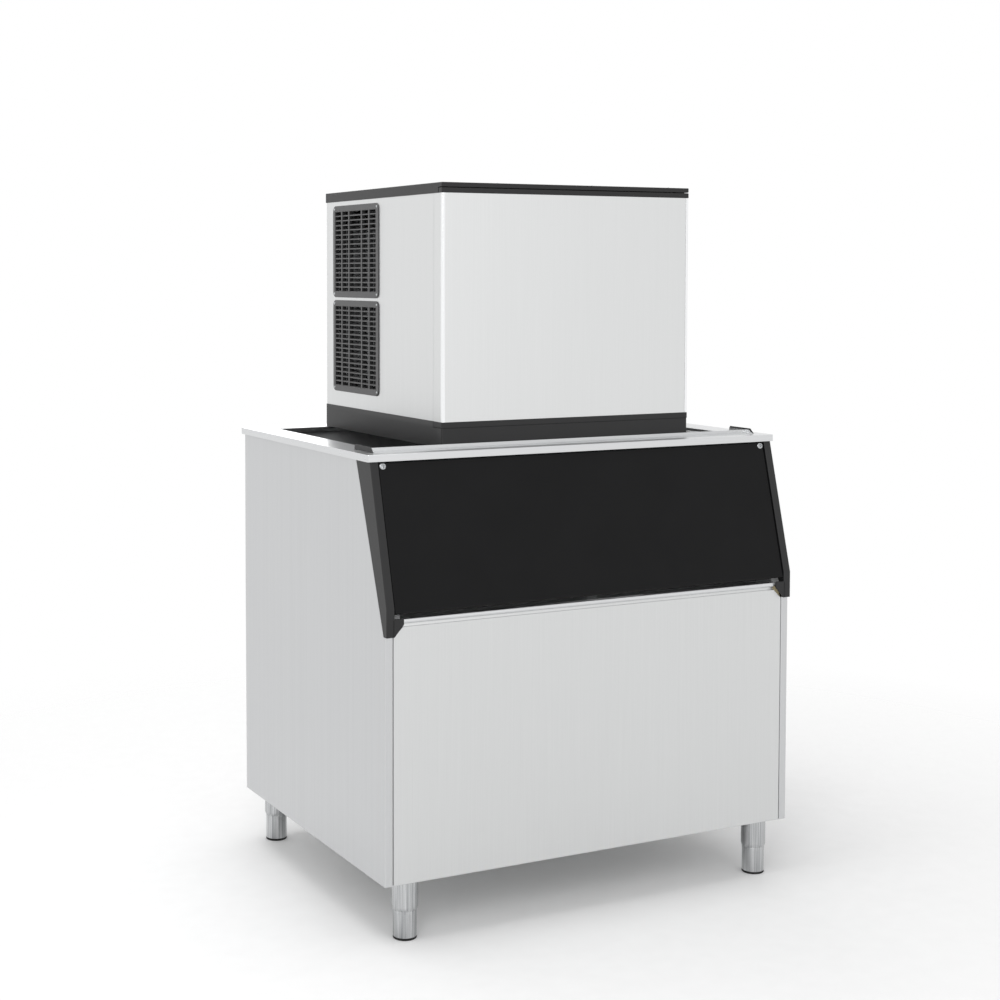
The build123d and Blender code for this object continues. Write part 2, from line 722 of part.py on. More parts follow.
def button_screw(axis, a, b, seat, out):
    """A domed screw on a seat: its head stands out along the axis, its shank goes in."""
    head = rod(axis, a, b, min(seat, seat + out * SCREW_HEAD), max(seat, seat + out * SCREW_HEAD), SCREW_R)
    shank = rod(axis, a, b, min(seat, seat - out * 7), max(seat, seat - out * 7), SCREW_SHANK_R)
    return head + shank


def grille_screws():
    screws = []
    for z in grille_heights():
        for y, hole_z in grille_screw_spots(z):
            screws.append(mirrored(button_screw("x", y, hole_z, SKIN_X + GRILLE_PROUD, 1)))
    return screws


TOP_SCREWS = (-0.28, 0.1, 0.42)


def top_screw_spots():
    front = [(share * HEAD_W, 12.0) for share in TOP_SCREWS]
    return front + [(share * HEAD_W, HEAD_D - 12.0) for share in TOP_SCREWS]


def top_cover():
    """Shallow black lid; its front is notched for the front cover's upper cap."""
    low = SKIN_TOP
    lid = round_block(-HX, HX, 0, HEAD_D, low, HEAD_H, HEAD_CORNER_R)
    lid = fillet(lid.faces().sort_by(Axis.Z)[-1].edges(), 1.5)
    lid -= box(-HX + TOP_T, HX - TOP_T, CAP_DEEP + 2 * TOP_T, HEAD_D - TOP_T, low - 1, HEAD_H - TOP_T)
    lid -= box(-HX + TOP_T, HX - TOP_T, TOP_T, CAP_DEEP + 3 * TOP_T,
               low + CAP_TALL + GROOVE + TOP_T, HEAD_H - TOP_T)
    lid -= box(-HX - 1, HX + 1, -1, CAP_DEEP + GROOVE, low - 1, low + CAP_TALL + GROOVE)
    for x, y in top_screw_spots():
        lid -= rod("z", x, y, HEAD_H - TOP_T - 1, HEAD_H + 1, SCREW_SHANK_R + 0.1)
    return lid


def top_screws():
    return [button_screw("z", x, y, HEAD_H, 1) for x, y in top_screw_spots()]


def head_rear():
    """Rear sheet with the warm-air louvres and holes for the services."""
    x = SKIN_X - SHEET
    y0 = SKIN_REAR - 2 * SHEET
    panel = box(-x, x, y0, y0 + SHEET, BASE_H, SKIN_TOP)
    slot_x1 = PARTITION_X - VENT_IN
    rows = int((SKIN_TOP - VENT_LOW - VENT_TOP_GAP) // VENT_STEP)
    for row in range(rows):
        z = VENT_LOW + row * VENT_STEP
        panel -= box(slot_x1 - VENT_W, slot_x1, y0 - 1, y0 + SHEET + 1, z, z + VENT_H)
    panel -= rod("y", GLAND_X, GLAND_Z, y0 - 1, y0 + SHEET + 1, GLAND_R + SEAT_GAP)
    panel -= rod("y", INLET_X, INLET_Z, y0 - 1, y0 + SHEET + 1, INLET_R + SEAT_GAP)
    return panel


# Front cover of the head
COVER_LOW = BASE_H
COVER_TOP = SKIN_TOP


def front_skin():
    x = SKIN_X
    skin = box(-x, x, 0, COVER_D, COVER_LOW, COVER_TOP)
    return skin - box(-x + SHEET, x - SHEET, SHEET, COVER_D + 1, COVER_LOW - 1, COVER_TOP + 1)


def cover_cap_upper():
    cap = box(-HX, HX, 0, CAP_DEEP, SKIN_TOP, SKIN_TOP + CAP_TALL)
    cap = fillet(cap.edges().filter_by(Axis.X), 2.0)
    half = SKIN_X - SHEET - SEAT_GAP
    tongue = box(-half, half, SHEET + SEAT_GAP, CAP_DEEP - 2, SKIN_TOP - 9, SKIN_TOP + 3)
    return cap + tongue


def cover_cap_lower():
    cap = box(-HX, HX, 0, COVER_D, FASCIA_H, BASE_H)
    cap = fillet(cap.edges().filter_by(Axis.Z), 2.0)
    half = SKIN_X - SHEET - SEAT_GAP
    tongue = box(-half, half, SHEET + SEAT_GAP, COVER_D - 2, COVER_LOW - 1, COVER_LOW + 9)
    return cap + tongue


def edge_strip():
    """Bright angle strip along the cover's right-hand corner."""
    x = SKIN_X + STRIP_PROUD
    out = box(x - STRIP_W, x, -STRIP_PROUD, STRIP_W, COVER_LOW, COVER_TOP)
    return out - box(x - STRIP_W - 1, SKIN_X, 0, STRIP_W + 1, COVER_LOW - 1, COVER_TOP + 1)


# Inside of the head, machinery side
def partition():
    x = PARTITION_X
    wall = box(x, x + PARTITION_T, COVER_D + 8, SKIN_REAR - 2 * SHEET, DECK_T, SKIN_TOP - 4)
    wall += box(x, x + 18, COVER_D + 8, SKIN_REAR - 2 * SHEET, DECK_T, DECK_T + PARTITION_T)
    return wall


def compressor_feet():
    reach_x, reach_y = COMP_FOOT[0] / 2, COMP_FOOT[1] / 2
    return [(COMP_X + dx, COMP_Y + dy) for dx in (-reach_x, reach_x) for dy in (-reach_y, reach_y)]


def compressor():
    """Welded hermetic can with its foot plate, terminal cover and stubs."""
    z0 = DECK_T + GROMMET_TALL
    half_x, half_y = COMP_PLATE[0] / 2, COMP_PLATE[1] / 2
    plate = box(COMP_X - half_x, COMP_X + half_x, COMP_Y - half_y, COMP_Y + half_y, z0, z0 + 4)
    can = Pos(COMP_X, COMP_Y, z0 + 4 + COMP_TALL / 2) * Cylinder(COMP_R, COMP_TALL)
    can = fillet(can.edges().sort_by(Axis.Z)[-1], COMP_CORNER)
    seam = rod("z", COMP_X, COMP_Y, z0 + 100, z0 + 106, COMP_R + 4)
    cover = box(COMP_X - 30, COMP_X + 30, COMP_Y - COMP_R - 22, COMP_Y - COMP_R + 20, z0 + 40, z0 + 90)
    crown = z0 + COMP_TALL
    stubs = rod("z", COMP_X + STUB_IN, COMP_Y + STUB_BACK, crown - 30, crown + STUB_TALL, COIL_TUBE_R)
    whole = plate + can + seam + cover + stubs
    for x, y in compressor_feet():
        whole -= rod("z", x, y, z0 - 1, z0 + 5, 5.5)
    return whole


def grommets():
    rings = []
    for x, y in compressor_feet():
        ring = rod("z", x, y, DECK_T, DECK_T + GROMMET_TALL, GROMMET_R)
        rings.append(ring + rod("z", x, y, DECK_T + GROMMET_TALL - 1, DECK_T + GROMMET_TALL + 8, 5.2))
    return rings


COIL_X0 = -SKIN_X + SHEET + 12
COIL_Y0 = GRILLE_Y + (GRILLE_W - COIL_D) / 2
COIL_Z0 = DECK_T
FAN_Y = COIL_Y0 + COIL_D / 2
FAN_Z = GRILLE_LOW_Z + GRILLE_H + GRILLE_SPACE / 2


def condenser():
    """Finned coil: end plates, fins on a pitch and serpentine tubes through them."""
    x0, x1 = COIL_X0, COIL_X0 + COIL_T
    y0, y1 = COIL_Y0, COIL_Y0 + COIL_D
    z0 = COIL_Z0 + COIL_LIFT
    z1 = z0 + COIL_H
    plates = [box(x0, x1, y0, y0 + 2, COIL_Z0, z1 + 10), box(x0, x1, y1 - 2, y1, COIL_Z0, z1 + 10)]
    count = int((COIL_D - 8) // FIN_STEP)
    fins = [box(x0 + 2, x1 - 2, y0 + 4 + i * FIN_STEP, y0 + 5 + i * FIN_STEP, z0, z1) for i in range(count)]
    tubes = []
    pitch = COIL_H / COIL_ROWS
    x = x0 + COIL_T / 2
    for i in range(COIL_ROWS):
        z = z0 + pitch * (i + 0.5)
        tubes.append(rod("y", x, z, y0 - COIL_TAIL, y1 + COIL_TAIL, COIL_TUBE_R))
    bends = []
    for i in range(COIL_ROWS - 1):
        z = z0 + pitch * (i + 1)
        y = y0 - COIL_TAIL if i % 2 else y1 + COIL_TAIL
        ring = Pos(x, y, z) * Rot(0, 90, 0) * Torus(pitch / 2, COIL_TUBE_R)
        out = -1 if i % 2 else 1
        low, high = sorted((y, y + out * pitch))
        bends.append(ring & box(x - 10, x + 10, low, high, z - pitch, z + pitch))
    return plates[0] + plates[1:] + fins + tubes + bends


def fan_shroud():
    """Sheet behind the coil with the fan ring and the motor's three-legged bracket."""
    x0 = COIL_X0 + COIL_T
    plate = box(x0, x0 + SHROUD_T, COIL_Y0, COIL_Y0 + COIL_D, COIL_Z0 + 50, COIL_Z0 + COIL_LIFT + COIL_H)
    hole = FAN_R + FAN_RING_CLEAR
    plate += rod("x", FAN_Y, FAN_Z, x0, x0 + 30, hole + SHROUD_T)
    plate -= rod("x", FAN_Y, FAN_Z, x0 - 1, x0 + 31, hole)
    reach = x0 + MOTOR_REACH
    for turn in (90, 210, 330):
        angle = math.radians(turn)
        y = FAN_Y + (hole + 1) * math.cos(angle)
        z = FAN_Z + (hole + 1) * math.sin(angle)
        plate += rod("x", y, z, x0, reach, 3)
        span = hole - MOTOR_R - 1
        spoke = Pos(0, MOTOR_R + 1.5 + span / 2, 0) * Box(6, span, 6)
        arm = Pos(reach - 3, FAN_Y, FAN_Z) * Rot(turn, 0, 0) * spoke
        plate += arm
    plate += pipe("x", FAN_Y, FAN_Z, reach - 6, reach, MOTOR_R + 4, MOTOR_R + 0.3)
    return plate


def fan_motor():
    x0 = COIL_X0 + COIL_T + MOTOR_REACH - 8
    body = rod("x", FAN_Y, FAN_Z, x0, x0 + MOTOR_LONG, MOTOR_R)
    body = fillet(body.edges().sort_by(Axis.X)[-1], 8)
    body += rod("x", FAN_Y, FAN_Z, x0 + 8, x0 + 11, MOTOR_R + 6)
    return body + rod("x", FAN_Y, FAN_Z, x0 - 40, x0 + 1, SHAFT_R)


def fan_blade():
    """Hub and pitched blades in one pressing."""
    x0 = COIL_X0 + COIL_T + MOTOR_REACH - 8 - 36
    hub = rod("x", FAN_Y, FAN_Z, x0, x0 + 26, 24)
    blades = []
    for i in range(FAN_BLADES):
        blade = Pos(x0 + 13, FAN_Y, FAN_Z) * Rot(i * 360 / FAN_BLADES, 0, 0) * Pos(0, (FAN_R + 20) / 2, 0)
        blades.append(blade * Rot(0, 28, 0) * Box(2, FAN_R - 20, 62))
    fan = hub + blades
    fan &= rod("x", FAN_Y, FAN_Z, x0 - 30, x0 + 26 + 4, FAN_R)
    return fan - rod("x", FAN_Y, FAN_Z, x0 - 1, x0 + 60, SHAFT_R + SHAFT_CLEAR)


def control_box():
    x1 = PARTITION_X
    x0 = x1 - BOX_W
    y0 = COVER_D + 10
    z0 = SKIN_TOP - 60 - BOX_H
    case = box(x0, x1, y0, y0 + BOX_D, z0, z0 + BOX_H)
    case -= box(x0 + BOX_T, x1 - BOX_T, y0 + BOX_T, y0 + BOX_D - BOX_T, z0 + BOX_T, z0 + BOX_H - BOX_T)
    x, z = switch_x(), switch_z()
    case -= box(x - 6.5, x + 6.5, y0 - 1, y0 + BOX_T + 1, z - 9.5, z + 9.5)
    return case


def switch_x():
    return PARTITION_X - BOX_W / 2


def switch_z():
    return SKIN_TOP - 60 - BOX_H / 2


def switch_housing():
    y0 = COVER_D + 10
    x, z = switch_x(), switch_z()
    body = box(x - 6.2, x + 6.2, y0 - 0.0, y0 + 24, z - 9.2, z + 9.2)
    body += box(x - 9, x + 9, y0 - 2, y0, z - 13, z + 13)
    body -= box(x - 4, x + 4, y0 - 3, y0 + 12, z - 7.5, z + 7.5)
    return body - rod("x", y0 + 4, z, x - 5.6, x + 5.6, 1.5)


def switch_lever():
    y0 = COVER_D + 10
    x, z = switch_x(), switch_z()
    lever = rod("x", y0 + 4, z, x - 3.6, x + 3.6, 3.2)
    lever += rod("x", y0 + 4, z, x - 5.4, x + 5.4, 1.45)
    stick = rod("y", x, 0, -11, 0, 2)
    stick = fillet(stick.edges().sort_by(Axis.Y)[0], 1)
    return lever + Pos(0, y0 + 4, z) * Rot(-18, 0, 0) * stick


def drier_line():
    """Copper line with its filter drier, from the compressor to the coil's upper end."""
    x, y = COMP_X + STUB_IN, COMP_Y + STUB_BACK
    start = DECK_T + GROMMET_TALL + COMP_TALL + STUB_TALL + SEAT_GAP
    coil_x = COIL_X0 + COIL_T / 2
    line_z = COIL_Z0 + COIL_LIFT + COIL_H / COIL_ROWS * (COIL_ROWS - 0.5)
    line = rod("z", x, y, start, line_z, COIL_TUBE_R)
    line += rod("z", x, y, start + 50, start + 150, DRIER_R)
    line += rod("x", y, line_z, coil_x, x, COIL_TUBE_R)
    line += rod("y", coil_x, line_z, y, COIL_Y0 - COIL_TAIL - SEAT_GAP, COIL_TUBE_R)
    for corner_x in (x, coil_x):
        line += Pos(corner_x, y, line_z) * Sphere(COIL_TUBE_R)
    return line


# Inside of the head, ice-making side
EVAP_X0 = DROP_X0 + 15
EVAP_X1 = EVAP_X0 + EVAP_W


def evaporator():
    """Cast grid of square ice pockets on a back plate, with its serpentine tube."""
    y0, y1 = EVAP_Y, EVAP_Y + EVAP_T
    plate = box(EVAP_X0, EVAP_X1, y1 - 2, y1, EVAP_Z, EVAP_Z + EVAP_H)
    walls = []
    pitch = (EVAP_W - EVAP_WALL) / EVAP_CELLS
    for i in range(EVAP_CELLS + 1):
        x = EVAP_X0 + i * pitch
        walls.append(box(x, x + EVAP_WALL, y0, y1 - 1, EVAP_Z, EVAP_Z + EVAP_H))
    rows = round((EVAP_H - EVAP_WALL) / pitch)
    rise = (EVAP_H - EVAP_WALL) / rows
    for i in range(rows + 1):
        z = EVAP_Z + i * rise
        walls.append(box(EVAP_X0, EVAP_X1, y0, y1 - 1, z, z + EVAP_WALL))
    tubes = []
    for i in range(6):
        z = EVAP_Z + 30 + i * 60
        tubes.append(rod("x", y1 + 4, z, EVAP_X0 + 10, EVAP_X1 - 10, 5))
    return plate + walls + tubes


def evaporator_frame():
    """Moulded surround that holds the grid on the partition and the deck."""
    x0, x1 = EVAP_X0 - FRAME_W, EVAP_X1 + FRAME_W
    y0, y1 = EVAP_Y - 2, EVAP_Y + EVAP_T - 3
    z0, z1 = EVAP_Z - FRAME_W, EVAP_Z + EVAP_H + FRAME_W
    frame = box(x0, x1, y0, y1, z0, z1)
    frame -= box(EVAP_X0 - 0.3, EVAP_X1 + 0.3, y0 - 1, y1 + 1, EVAP_Z, EVAP_Z + EVAP_H + 0.3)
    frame += box(x0, x0 + FRAME_W - 1, y0, y1, DECK_T, z0 + 1)
    frame += box(x1 - FRAME_W + 1, x1, y0, y1, DECK_T, z0 + 1)
    pin_y, pin_z = curtain_axis()
    for x in (x0, x1 - 5):
        frame += box(x, x + 5, pin_y - 9, y0 + 1, pin_z - 9, pin_z + 9)
        frame -= rod("x", pin_y, pin_z, x - 1, x + 6, CURTAIN_PIN_R + SHAFT_CLEAR)
    return frame


def curtain_axis():
    return EVAP_Y - 2 - CURTAIN_GAP, EVAP_Z + EVAP_H - 5


def water_curtain():
    """Clear flap in front of the grid, hung on two pins, pushed open by the falling ice."""
    y, z = curtain_axis()
    x0, x1 = EVAP_X0 - FRAME_W + 5.5, EVAP_X1 + FRAME_W - 5.5
    flap = box(x0, x1, y - CURTAIN_T / 2, y + CURTAIN_T / 2, EVAP_Z - 20, z)
    flap += rod("x", y, z, x0, x1, 5)
    return flap + rod("x", y, z, x0 - 5, x1 + 5, CURTAIN_PIN_R)


def distributor():
    """Perforated water tube along the grid's top, on two end posts."""
    y = EVAP_Y + 8
    z = EVAP_Z + EVAP_H + FRAME_W + TUBE_R
    tube = pipe("x", y, z, EVAP_X0 - 8, EVAP_X1 + 8, TUBE_R, TUBE_R - 2)
    tube += rod("x", y, z, EVAP_X1 + 4, EVAP_X1 + 8, TUBE_R - 1)
    for i in range(12):
        x = EVAP_X0 + 15 + i * (EVAP_W - 30) / 11
        tube -= rod("z", x, y, z - TUBE_R - 1, z, 1.6)
    return tube


TROUGH_Z0 = DECK_T + COLLAR_TALL + 6


def water_trough():
    """Open water tank under the grid, behind the ice-drop opening."""
    x0, x1 = EVAP_X0 - 0.5, EVAP_X1 + 0.5
    y0, y1 = EVAP_Y - 12, EVAP_Y + TANK_BACK
    z1 = TROUGH_Z0 + TROUGH_TALL
    tank = box(x0, x1, y0, y1, TROUGH_Z0, z1)
    wall = TROUGH_WALL
    tank -= box(x0 + wall, x1 - wall, y0 + wall, y1 - wall, TROUGH_Z0 + wall, z1 + 1)
    for x in (x0 + 8, x1 - 20):
        tank += box(x, x + 12, y1 - 40, y1, DECK_T, TROUGH_Z0 + 1)
        tank += box(x, x + 12, y0 + 4, y0 + 24, DECK_T, TROUGH_Z0 + 1)
    return tank


def pump_spot():
    return EVAP_X1 - 60, EVAP_Y + 130


def water_pump():
    """Upright pump hung on the tank's rear edge, its inlet foot in the water."""
    x, y = pump_spot()
    z1 = TROUGH_Z0 + TROUGH_TALL
    motor = rod("z", x, y, z1 + 30, z1 + 110, PUMP_R)
    motor = fillet(motor.edges().sort_by(Axis.Z)[-1], 8)
    post = rod("z", x, y, TROUGH_Z0 + 30, z1 + 31, 9)
    foot = rod("z", x, y, TROUGH_Z0 + 8, TROUGH_Z0 + 32, 26)
    arm = box(x - 20, x + 20, y, EVAP_Y + TANK_BACK + 6, z1, z1 + 32)
    arm -= box(x - 21, x + 21, y + 14, EVAP_Y + TANK_BACK + 7, z1 + 4, z1 + 33)
    return motor + post + foot + arm


def float_arm_axis():
    return EVAP_X0 + 60, EVAP_Y + 150, TROUGH_Z0 + TROUGH_TALL + 8


def float_valve():
    """Filler valve on the tank's edge, with the inlet tube to the rear panel."""
    x, y, z = float_arm_axis()
    y1 = EVAP_Y + TANK_BACK
    body = box(x - 9, x + 9, y1 - 12, y1 + 8, z - 8, z + 14)
    body -= box(x - 10, x + 10, y1 - 13, y1 + 0.0, z - 9, z - 8 + 0.0)
    body += box(x - 9, x - 5, y - 6, y1 - 11, z - 6, z + 6)
    body += box(x + 5, x + 9, y - 6, y1 - 11, z - 6, z + 6)
    return body - rod("x", y, z, x - 10, x + 10, 2.0 + SHAFT_CLEAR)


def float_arm():
    """Lever and hollow float ball that shut the valve as the water rises."""
    x, y, z = float_arm_axis()
    arm = rod("x", y, z, x - 9, x + 9, 2.0)
    arm += rod("x", y, z, x - 4.5, x + 4.5, 5)
    arm += Pos(x, y, z) * Rot(28, 0, 0) * rod("y", 0, 0, -70, 0, 2.5)
    tip = Pos(x, y, z) * Rot(28, 0, 0) * Pos(0, -84, 0) * Sphere(17)
    return arm + tip


def through_rear(x, z, radius, inside, outside, flange):
    """A hollow fitting through the rear sheet, with a nut on each side of it."""
    y0 = SKIN_REAR - 2 * SHEET
    y1 = y0 + SHEET
    fitting = pipe("y", x, z, y0 - inside, y1 + outside, radius, SERVICE_BORE)
    fitting += pipe("y", x, z, y1, y1 + flange, SERVICE_NUT_R, SERVICE_BORE)
    return fitting + pipe("y", x, z, y0 - flange, y0, SERVICE_NUT_R - 1, SERVICE_BORE)


def inlet_fitting():
    """Water inlet union, with its thread drawn plain."""
    return through_rear(INLET_X, INLET_Z, INLET_R, 30, 26, 8)


def gland():
    """Cable gland where the mains lead would enter."""
    return through_rear(GLAND_X, GLAND_Z, GLAND_R, 12, 18, 6)


def both(name, shape, nodes):
    nodes[name + "_right"] = shape
    nodes[name + "_left"] = mirrored(shape)


def bin_nodes():
    nodes = {}
    both("bin_side_panel", side_panel(), nodes)
    nodes["bin_rear_panel"] = rear_panel()
    nodes["bin_base_pan"] = base_pan()
    nodes["bin_front_panel"] = front_panel()
    nodes["bin_liner"] = liner()
    nodes["bin_insulation"] = foam()
    nodes["bin_rim"] = rim()
    nodes["head_stop_bar"] = stop_bar()
    both("ear_cover", ear_cover(), nodes)
    both("door_trim", door_trim(), nodes)
    both("hinge_bracket", hinge_bracket(), nodes)
    nodes["bin_door"] = door()
    nodes["door_cap_screws"] = door_caps()
    nodes["bin_drain"] = bin_drain()
    for spot, (x, y) in leg_spots().items():
        nodes["leg_sleeve_" + spot] = leg_sleeve(x, y)
        nodes["leg_foot_" + spot] = leg_foot(x, y)
    return nodes


def head_nodes():
    nodes = {}
    nodes["head_base"] = head_base()
    nodes["head_side_left"] = head_side(False)
    nodes["head_side_right"] = head_side(True)
    nodes["head_rear_panel"] = head_rear()
    nodes["head_top_cover"] = top_cover()
    nodes["front_cover_skin"] = front_skin()
    nodes["front_cover_cap_upper"] = cover_cap_upper()
    nodes["front_cover_cap_lower"] = cover_cap_lower()
    both("cover_edge_strip", edge_strip(), nodes)
    low, high = grille_heights()
    nodes["grille_lower"] = grille(low)
    nodes["grille_upper"] = grille(high)
    nodes["casing_screws"] = grille_screws() + top_screws()
    nodes["partition"] = partition()
    nodes["compressor"] = compressor()
    nodes["compressor_grommets"] = grommets()
    nodes["condenser"] = condenser()
    nodes["fan_shroud"] = fan_shroud()
    nodes["fan_motor"] = fan_motor()
    nodes["fan_blade"] = fan_blade()
    nodes["drier_line"] = drier_line()
    nodes["control_box"] = control_box()
    nodes["switch_housing"] = switch_housing()
    nodes["switch_lever"] = switch_lever()
    nodes["evaporator"] = evaporator()
    nodes["evaporator_frame"] = evaporator_frame()
    nodes["water_curtain"] = water_curtain()
    nodes["water_distributor"] = distributor()
    nodes["water_trough"] = water_trough()
    nodes["water_pump"] = water_pump()
    nodes["float_valve"] = float_valve()
    nodes["float_arm"] = float_arm()
    nodes["water_inlet"] = inlet_fitting()
    nodes["cable_gland"] = gland()
    return nodes


def save(nodes, place):
    for name, shape in nodes.items():
        solids = shape if isinstance(shape, list) else [shape]
        placed = [place * solid for solid in solids]
        whole = placed[0] if len(placed) == 1 else Compound(children=placed)
        export_step(whole, f"parts/{name}.step")


os.makedirs("parts", exist_ok=True)
save(bin_nodes(), Pos(0, Y_SHIFT, LEG_H))
save(head_nodes(), Pos(0, Y_SHIFT + HEAD_Y, LEG_H + Z_RIM))
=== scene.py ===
# %% [markdown]
# # Modular ice cube machine
# An ice-making head of stainless sheet and black mouldings stands on the rim of an
# insulated storage bin with a black flap door. The imported CAD model is loaded first. Every
# visible piece is then drawn over it in the same frame, given its finish, and set before a
# camera on a pale studio floor.

import math

import bmesh
import bpy
from mathutils import Matrix, Vector
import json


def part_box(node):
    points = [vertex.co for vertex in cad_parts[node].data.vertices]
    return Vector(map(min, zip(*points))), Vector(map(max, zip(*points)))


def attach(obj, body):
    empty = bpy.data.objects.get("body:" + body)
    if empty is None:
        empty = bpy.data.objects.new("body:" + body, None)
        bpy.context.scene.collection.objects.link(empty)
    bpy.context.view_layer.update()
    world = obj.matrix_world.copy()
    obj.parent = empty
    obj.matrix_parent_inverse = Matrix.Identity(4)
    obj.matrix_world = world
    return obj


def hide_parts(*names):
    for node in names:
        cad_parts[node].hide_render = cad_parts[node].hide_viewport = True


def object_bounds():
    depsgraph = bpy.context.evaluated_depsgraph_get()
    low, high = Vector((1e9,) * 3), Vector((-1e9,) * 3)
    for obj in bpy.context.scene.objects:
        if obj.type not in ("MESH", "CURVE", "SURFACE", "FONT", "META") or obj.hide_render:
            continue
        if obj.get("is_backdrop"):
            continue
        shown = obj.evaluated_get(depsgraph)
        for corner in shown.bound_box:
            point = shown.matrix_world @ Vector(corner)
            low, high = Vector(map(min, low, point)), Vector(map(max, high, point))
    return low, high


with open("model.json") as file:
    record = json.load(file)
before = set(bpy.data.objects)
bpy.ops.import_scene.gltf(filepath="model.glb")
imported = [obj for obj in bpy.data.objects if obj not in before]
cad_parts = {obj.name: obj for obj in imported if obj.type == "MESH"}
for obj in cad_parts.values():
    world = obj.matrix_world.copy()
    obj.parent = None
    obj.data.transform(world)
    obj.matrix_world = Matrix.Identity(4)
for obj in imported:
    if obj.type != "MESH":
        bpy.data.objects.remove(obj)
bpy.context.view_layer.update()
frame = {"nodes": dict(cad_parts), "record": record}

# %% [markdown]
# ## Sizes
# All sizes are in millimetres. The bin is drawn from its front panel's face and its
# underside, the head from the face of its front cover and the rim it stands on. Each has one
# shift into the shared frame. Sizes that both models need are read from the CAD nodes' boxes,
# so the two can't drift apart.

# %% Sizes
MM = 0.001
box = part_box


def at(node, corner, axis, shift):
    """One coordinate of a node's box, in the millimetres of its own sub-assembly."""
    return box(node)[corner][axis] / MM - shift


BIN_Y = round(at("bin_front_panel", 0, 1, 0), 3) + 3.0
BIN_Z = round(at("bin_front_panel", 0, 2, 0), 3)
HEAD_Y = round(at("head_base", 0, 1, 0), 3)
HEAD_Z = round(at("head_base", 0, 2, 0), 3)
BIN = Vector((0, BIN_Y, BIN_Z))
HEAD = Vector((0, HEAD_Y, HEAD_Z))
WORLD = Vector((0, 0, 0))

X_OUT = at("bin_side_panel_right", 1, 0, 0)
REAR_Y = at("bin_side_panel_right", 1, 1, BIN_Y)
SIDE_TOP = at("bin_side_panel_right", 1, 2, BIN_Z)
RIM_TOP = at("bin_rim", 1, 2, BIN_Z)
SHEET = 1.5
TILT = math.radians(15)
print("bin", round(2 * X_OUT), "wide,", round(REAR_Y), "deep,", round(RIM_TOP), "tall")

# %% [markdown]
# ## Small helpers
# A piece is built as a bmesh in the millimetres of its sub-assembly, and `piece` turns it
# into an object in metres, at the origin of the shared frame. `slab`, `prism` and `lathe` give
# the three plain starts: a block, an outline drawn through, and a turned profile. Every edge a
# hand could touch is then rounded with the bevel operator, as no real edge is sharp.

# %% Helpers
def slab(bm, x0, x1, y0, y1, z0, z1):
    """A closed block between two corners."""
    made = bmesh.ops.create_cube(bm, size=1.0)["verts"]
    for v in made:
        v.co.x = x1 if v.co.x > 0 else x0
        v.co.y = y1 if v.co.y > 0 else y0
        v.co.z = z1 if v.co.z > 0 else z0
    return made


def prism(bm, outline, axis, a, b):
    """An outline in the other two axes, drawn from a to b along x or y."""
    def point(p, s):
        return (s, p[0], p[1]) if axis == "x" else (p[0], s, p[1])

    face = bm.faces.new([bm.verts.new(point(p, a)) for p in outline])
    out = bmesh.ops.extrude_face_region(bm, geom=[face])["geom"]
    moved = [g for g in out if isinstance(g, bmesh.types.BMVert)]
    step = Vector((b - a, 0, 0)) if axis == "x" else Vector((0, b - a, 0))
    bmesh.ops.translate(bm, verts=moved, vec=step)
    return moved


def lathe(bm, profile, centre, axis="z", steps=48):
    """A profile of (radius, height) turned about an axis through centre."""
    verts = [bm.verts.new((r, 0, h)) for r, h in profile]
    edges = [bm.edges.new(pair) for pair in zip(verts, verts[1:])]
    made = bmesh.ops.spin(bm, geom=verts + edges, cent=(0, 0, 0), axis=(0, 0, 1), angle=2 * math.pi,
                          steps=steps, use_merge=True)
    parts = {v for e in edges for v in e.verts}
    queue = list(parts)
    while queue:
        for e in queue.pop().link_edges:
            for v in e.verts:
                if v not in parts:
                    parts.add(v)
                    queue.append(v)
    parts = list(parts)
    bmesh.ops.remove_doubles(bm, verts=parts, dist=0.001)
    parts = [v for v in parts if v.is_valid]
    turn = {"x": Matrix.Rotation(math.pi / 2, 3, "Y"), "y": Matrix.Rotation(-math.pi / 2, 3, "X"),
            "-x": Matrix.Rotation(-math.pi / 2, 3, "Y"), "-y": Matrix.Rotation(math.pi / 2, 3, "X"),
            "z": Matrix.Identity(3)}[axis]
    for v in parts:
        v.co = turn @ v.co + Vector(centre)
    return parts


def edges_at(bm, test):
    """The edges whose two ends both pass the test."""
    return [e for e in bm.edges if all(test(v.co) for v in e.verts)]


def soften(bm, edges, width, segments=3):
    """Rounds edges."""
    bmesh.ops.bevel(bm, geom=edges, offset=width, offset_type="OFFSET", segments=segments,
                    profile=0.5, affect="EDGES", clamp_overlap=True, material=-1)


def sharp_edges(bm, degrees=40, verts=None):
    """Edges between two faces that meet at more than this angle."""
    chosen = [e for e in bm.edges if len(e.link_faces) == 2 and e.calc_face_angle(0) > math.radians(degrees)]
    if verts is None:
        return chosen
    among = set(verts)
    return [e for e in chosen if e.verts[0] in among and e.verts[1] in among]


bodies = frame["record"]["behaviour"]["bodies"]
body_of_node = {n: b for b, members in bodies.items() for n in members}
made_pieces = []


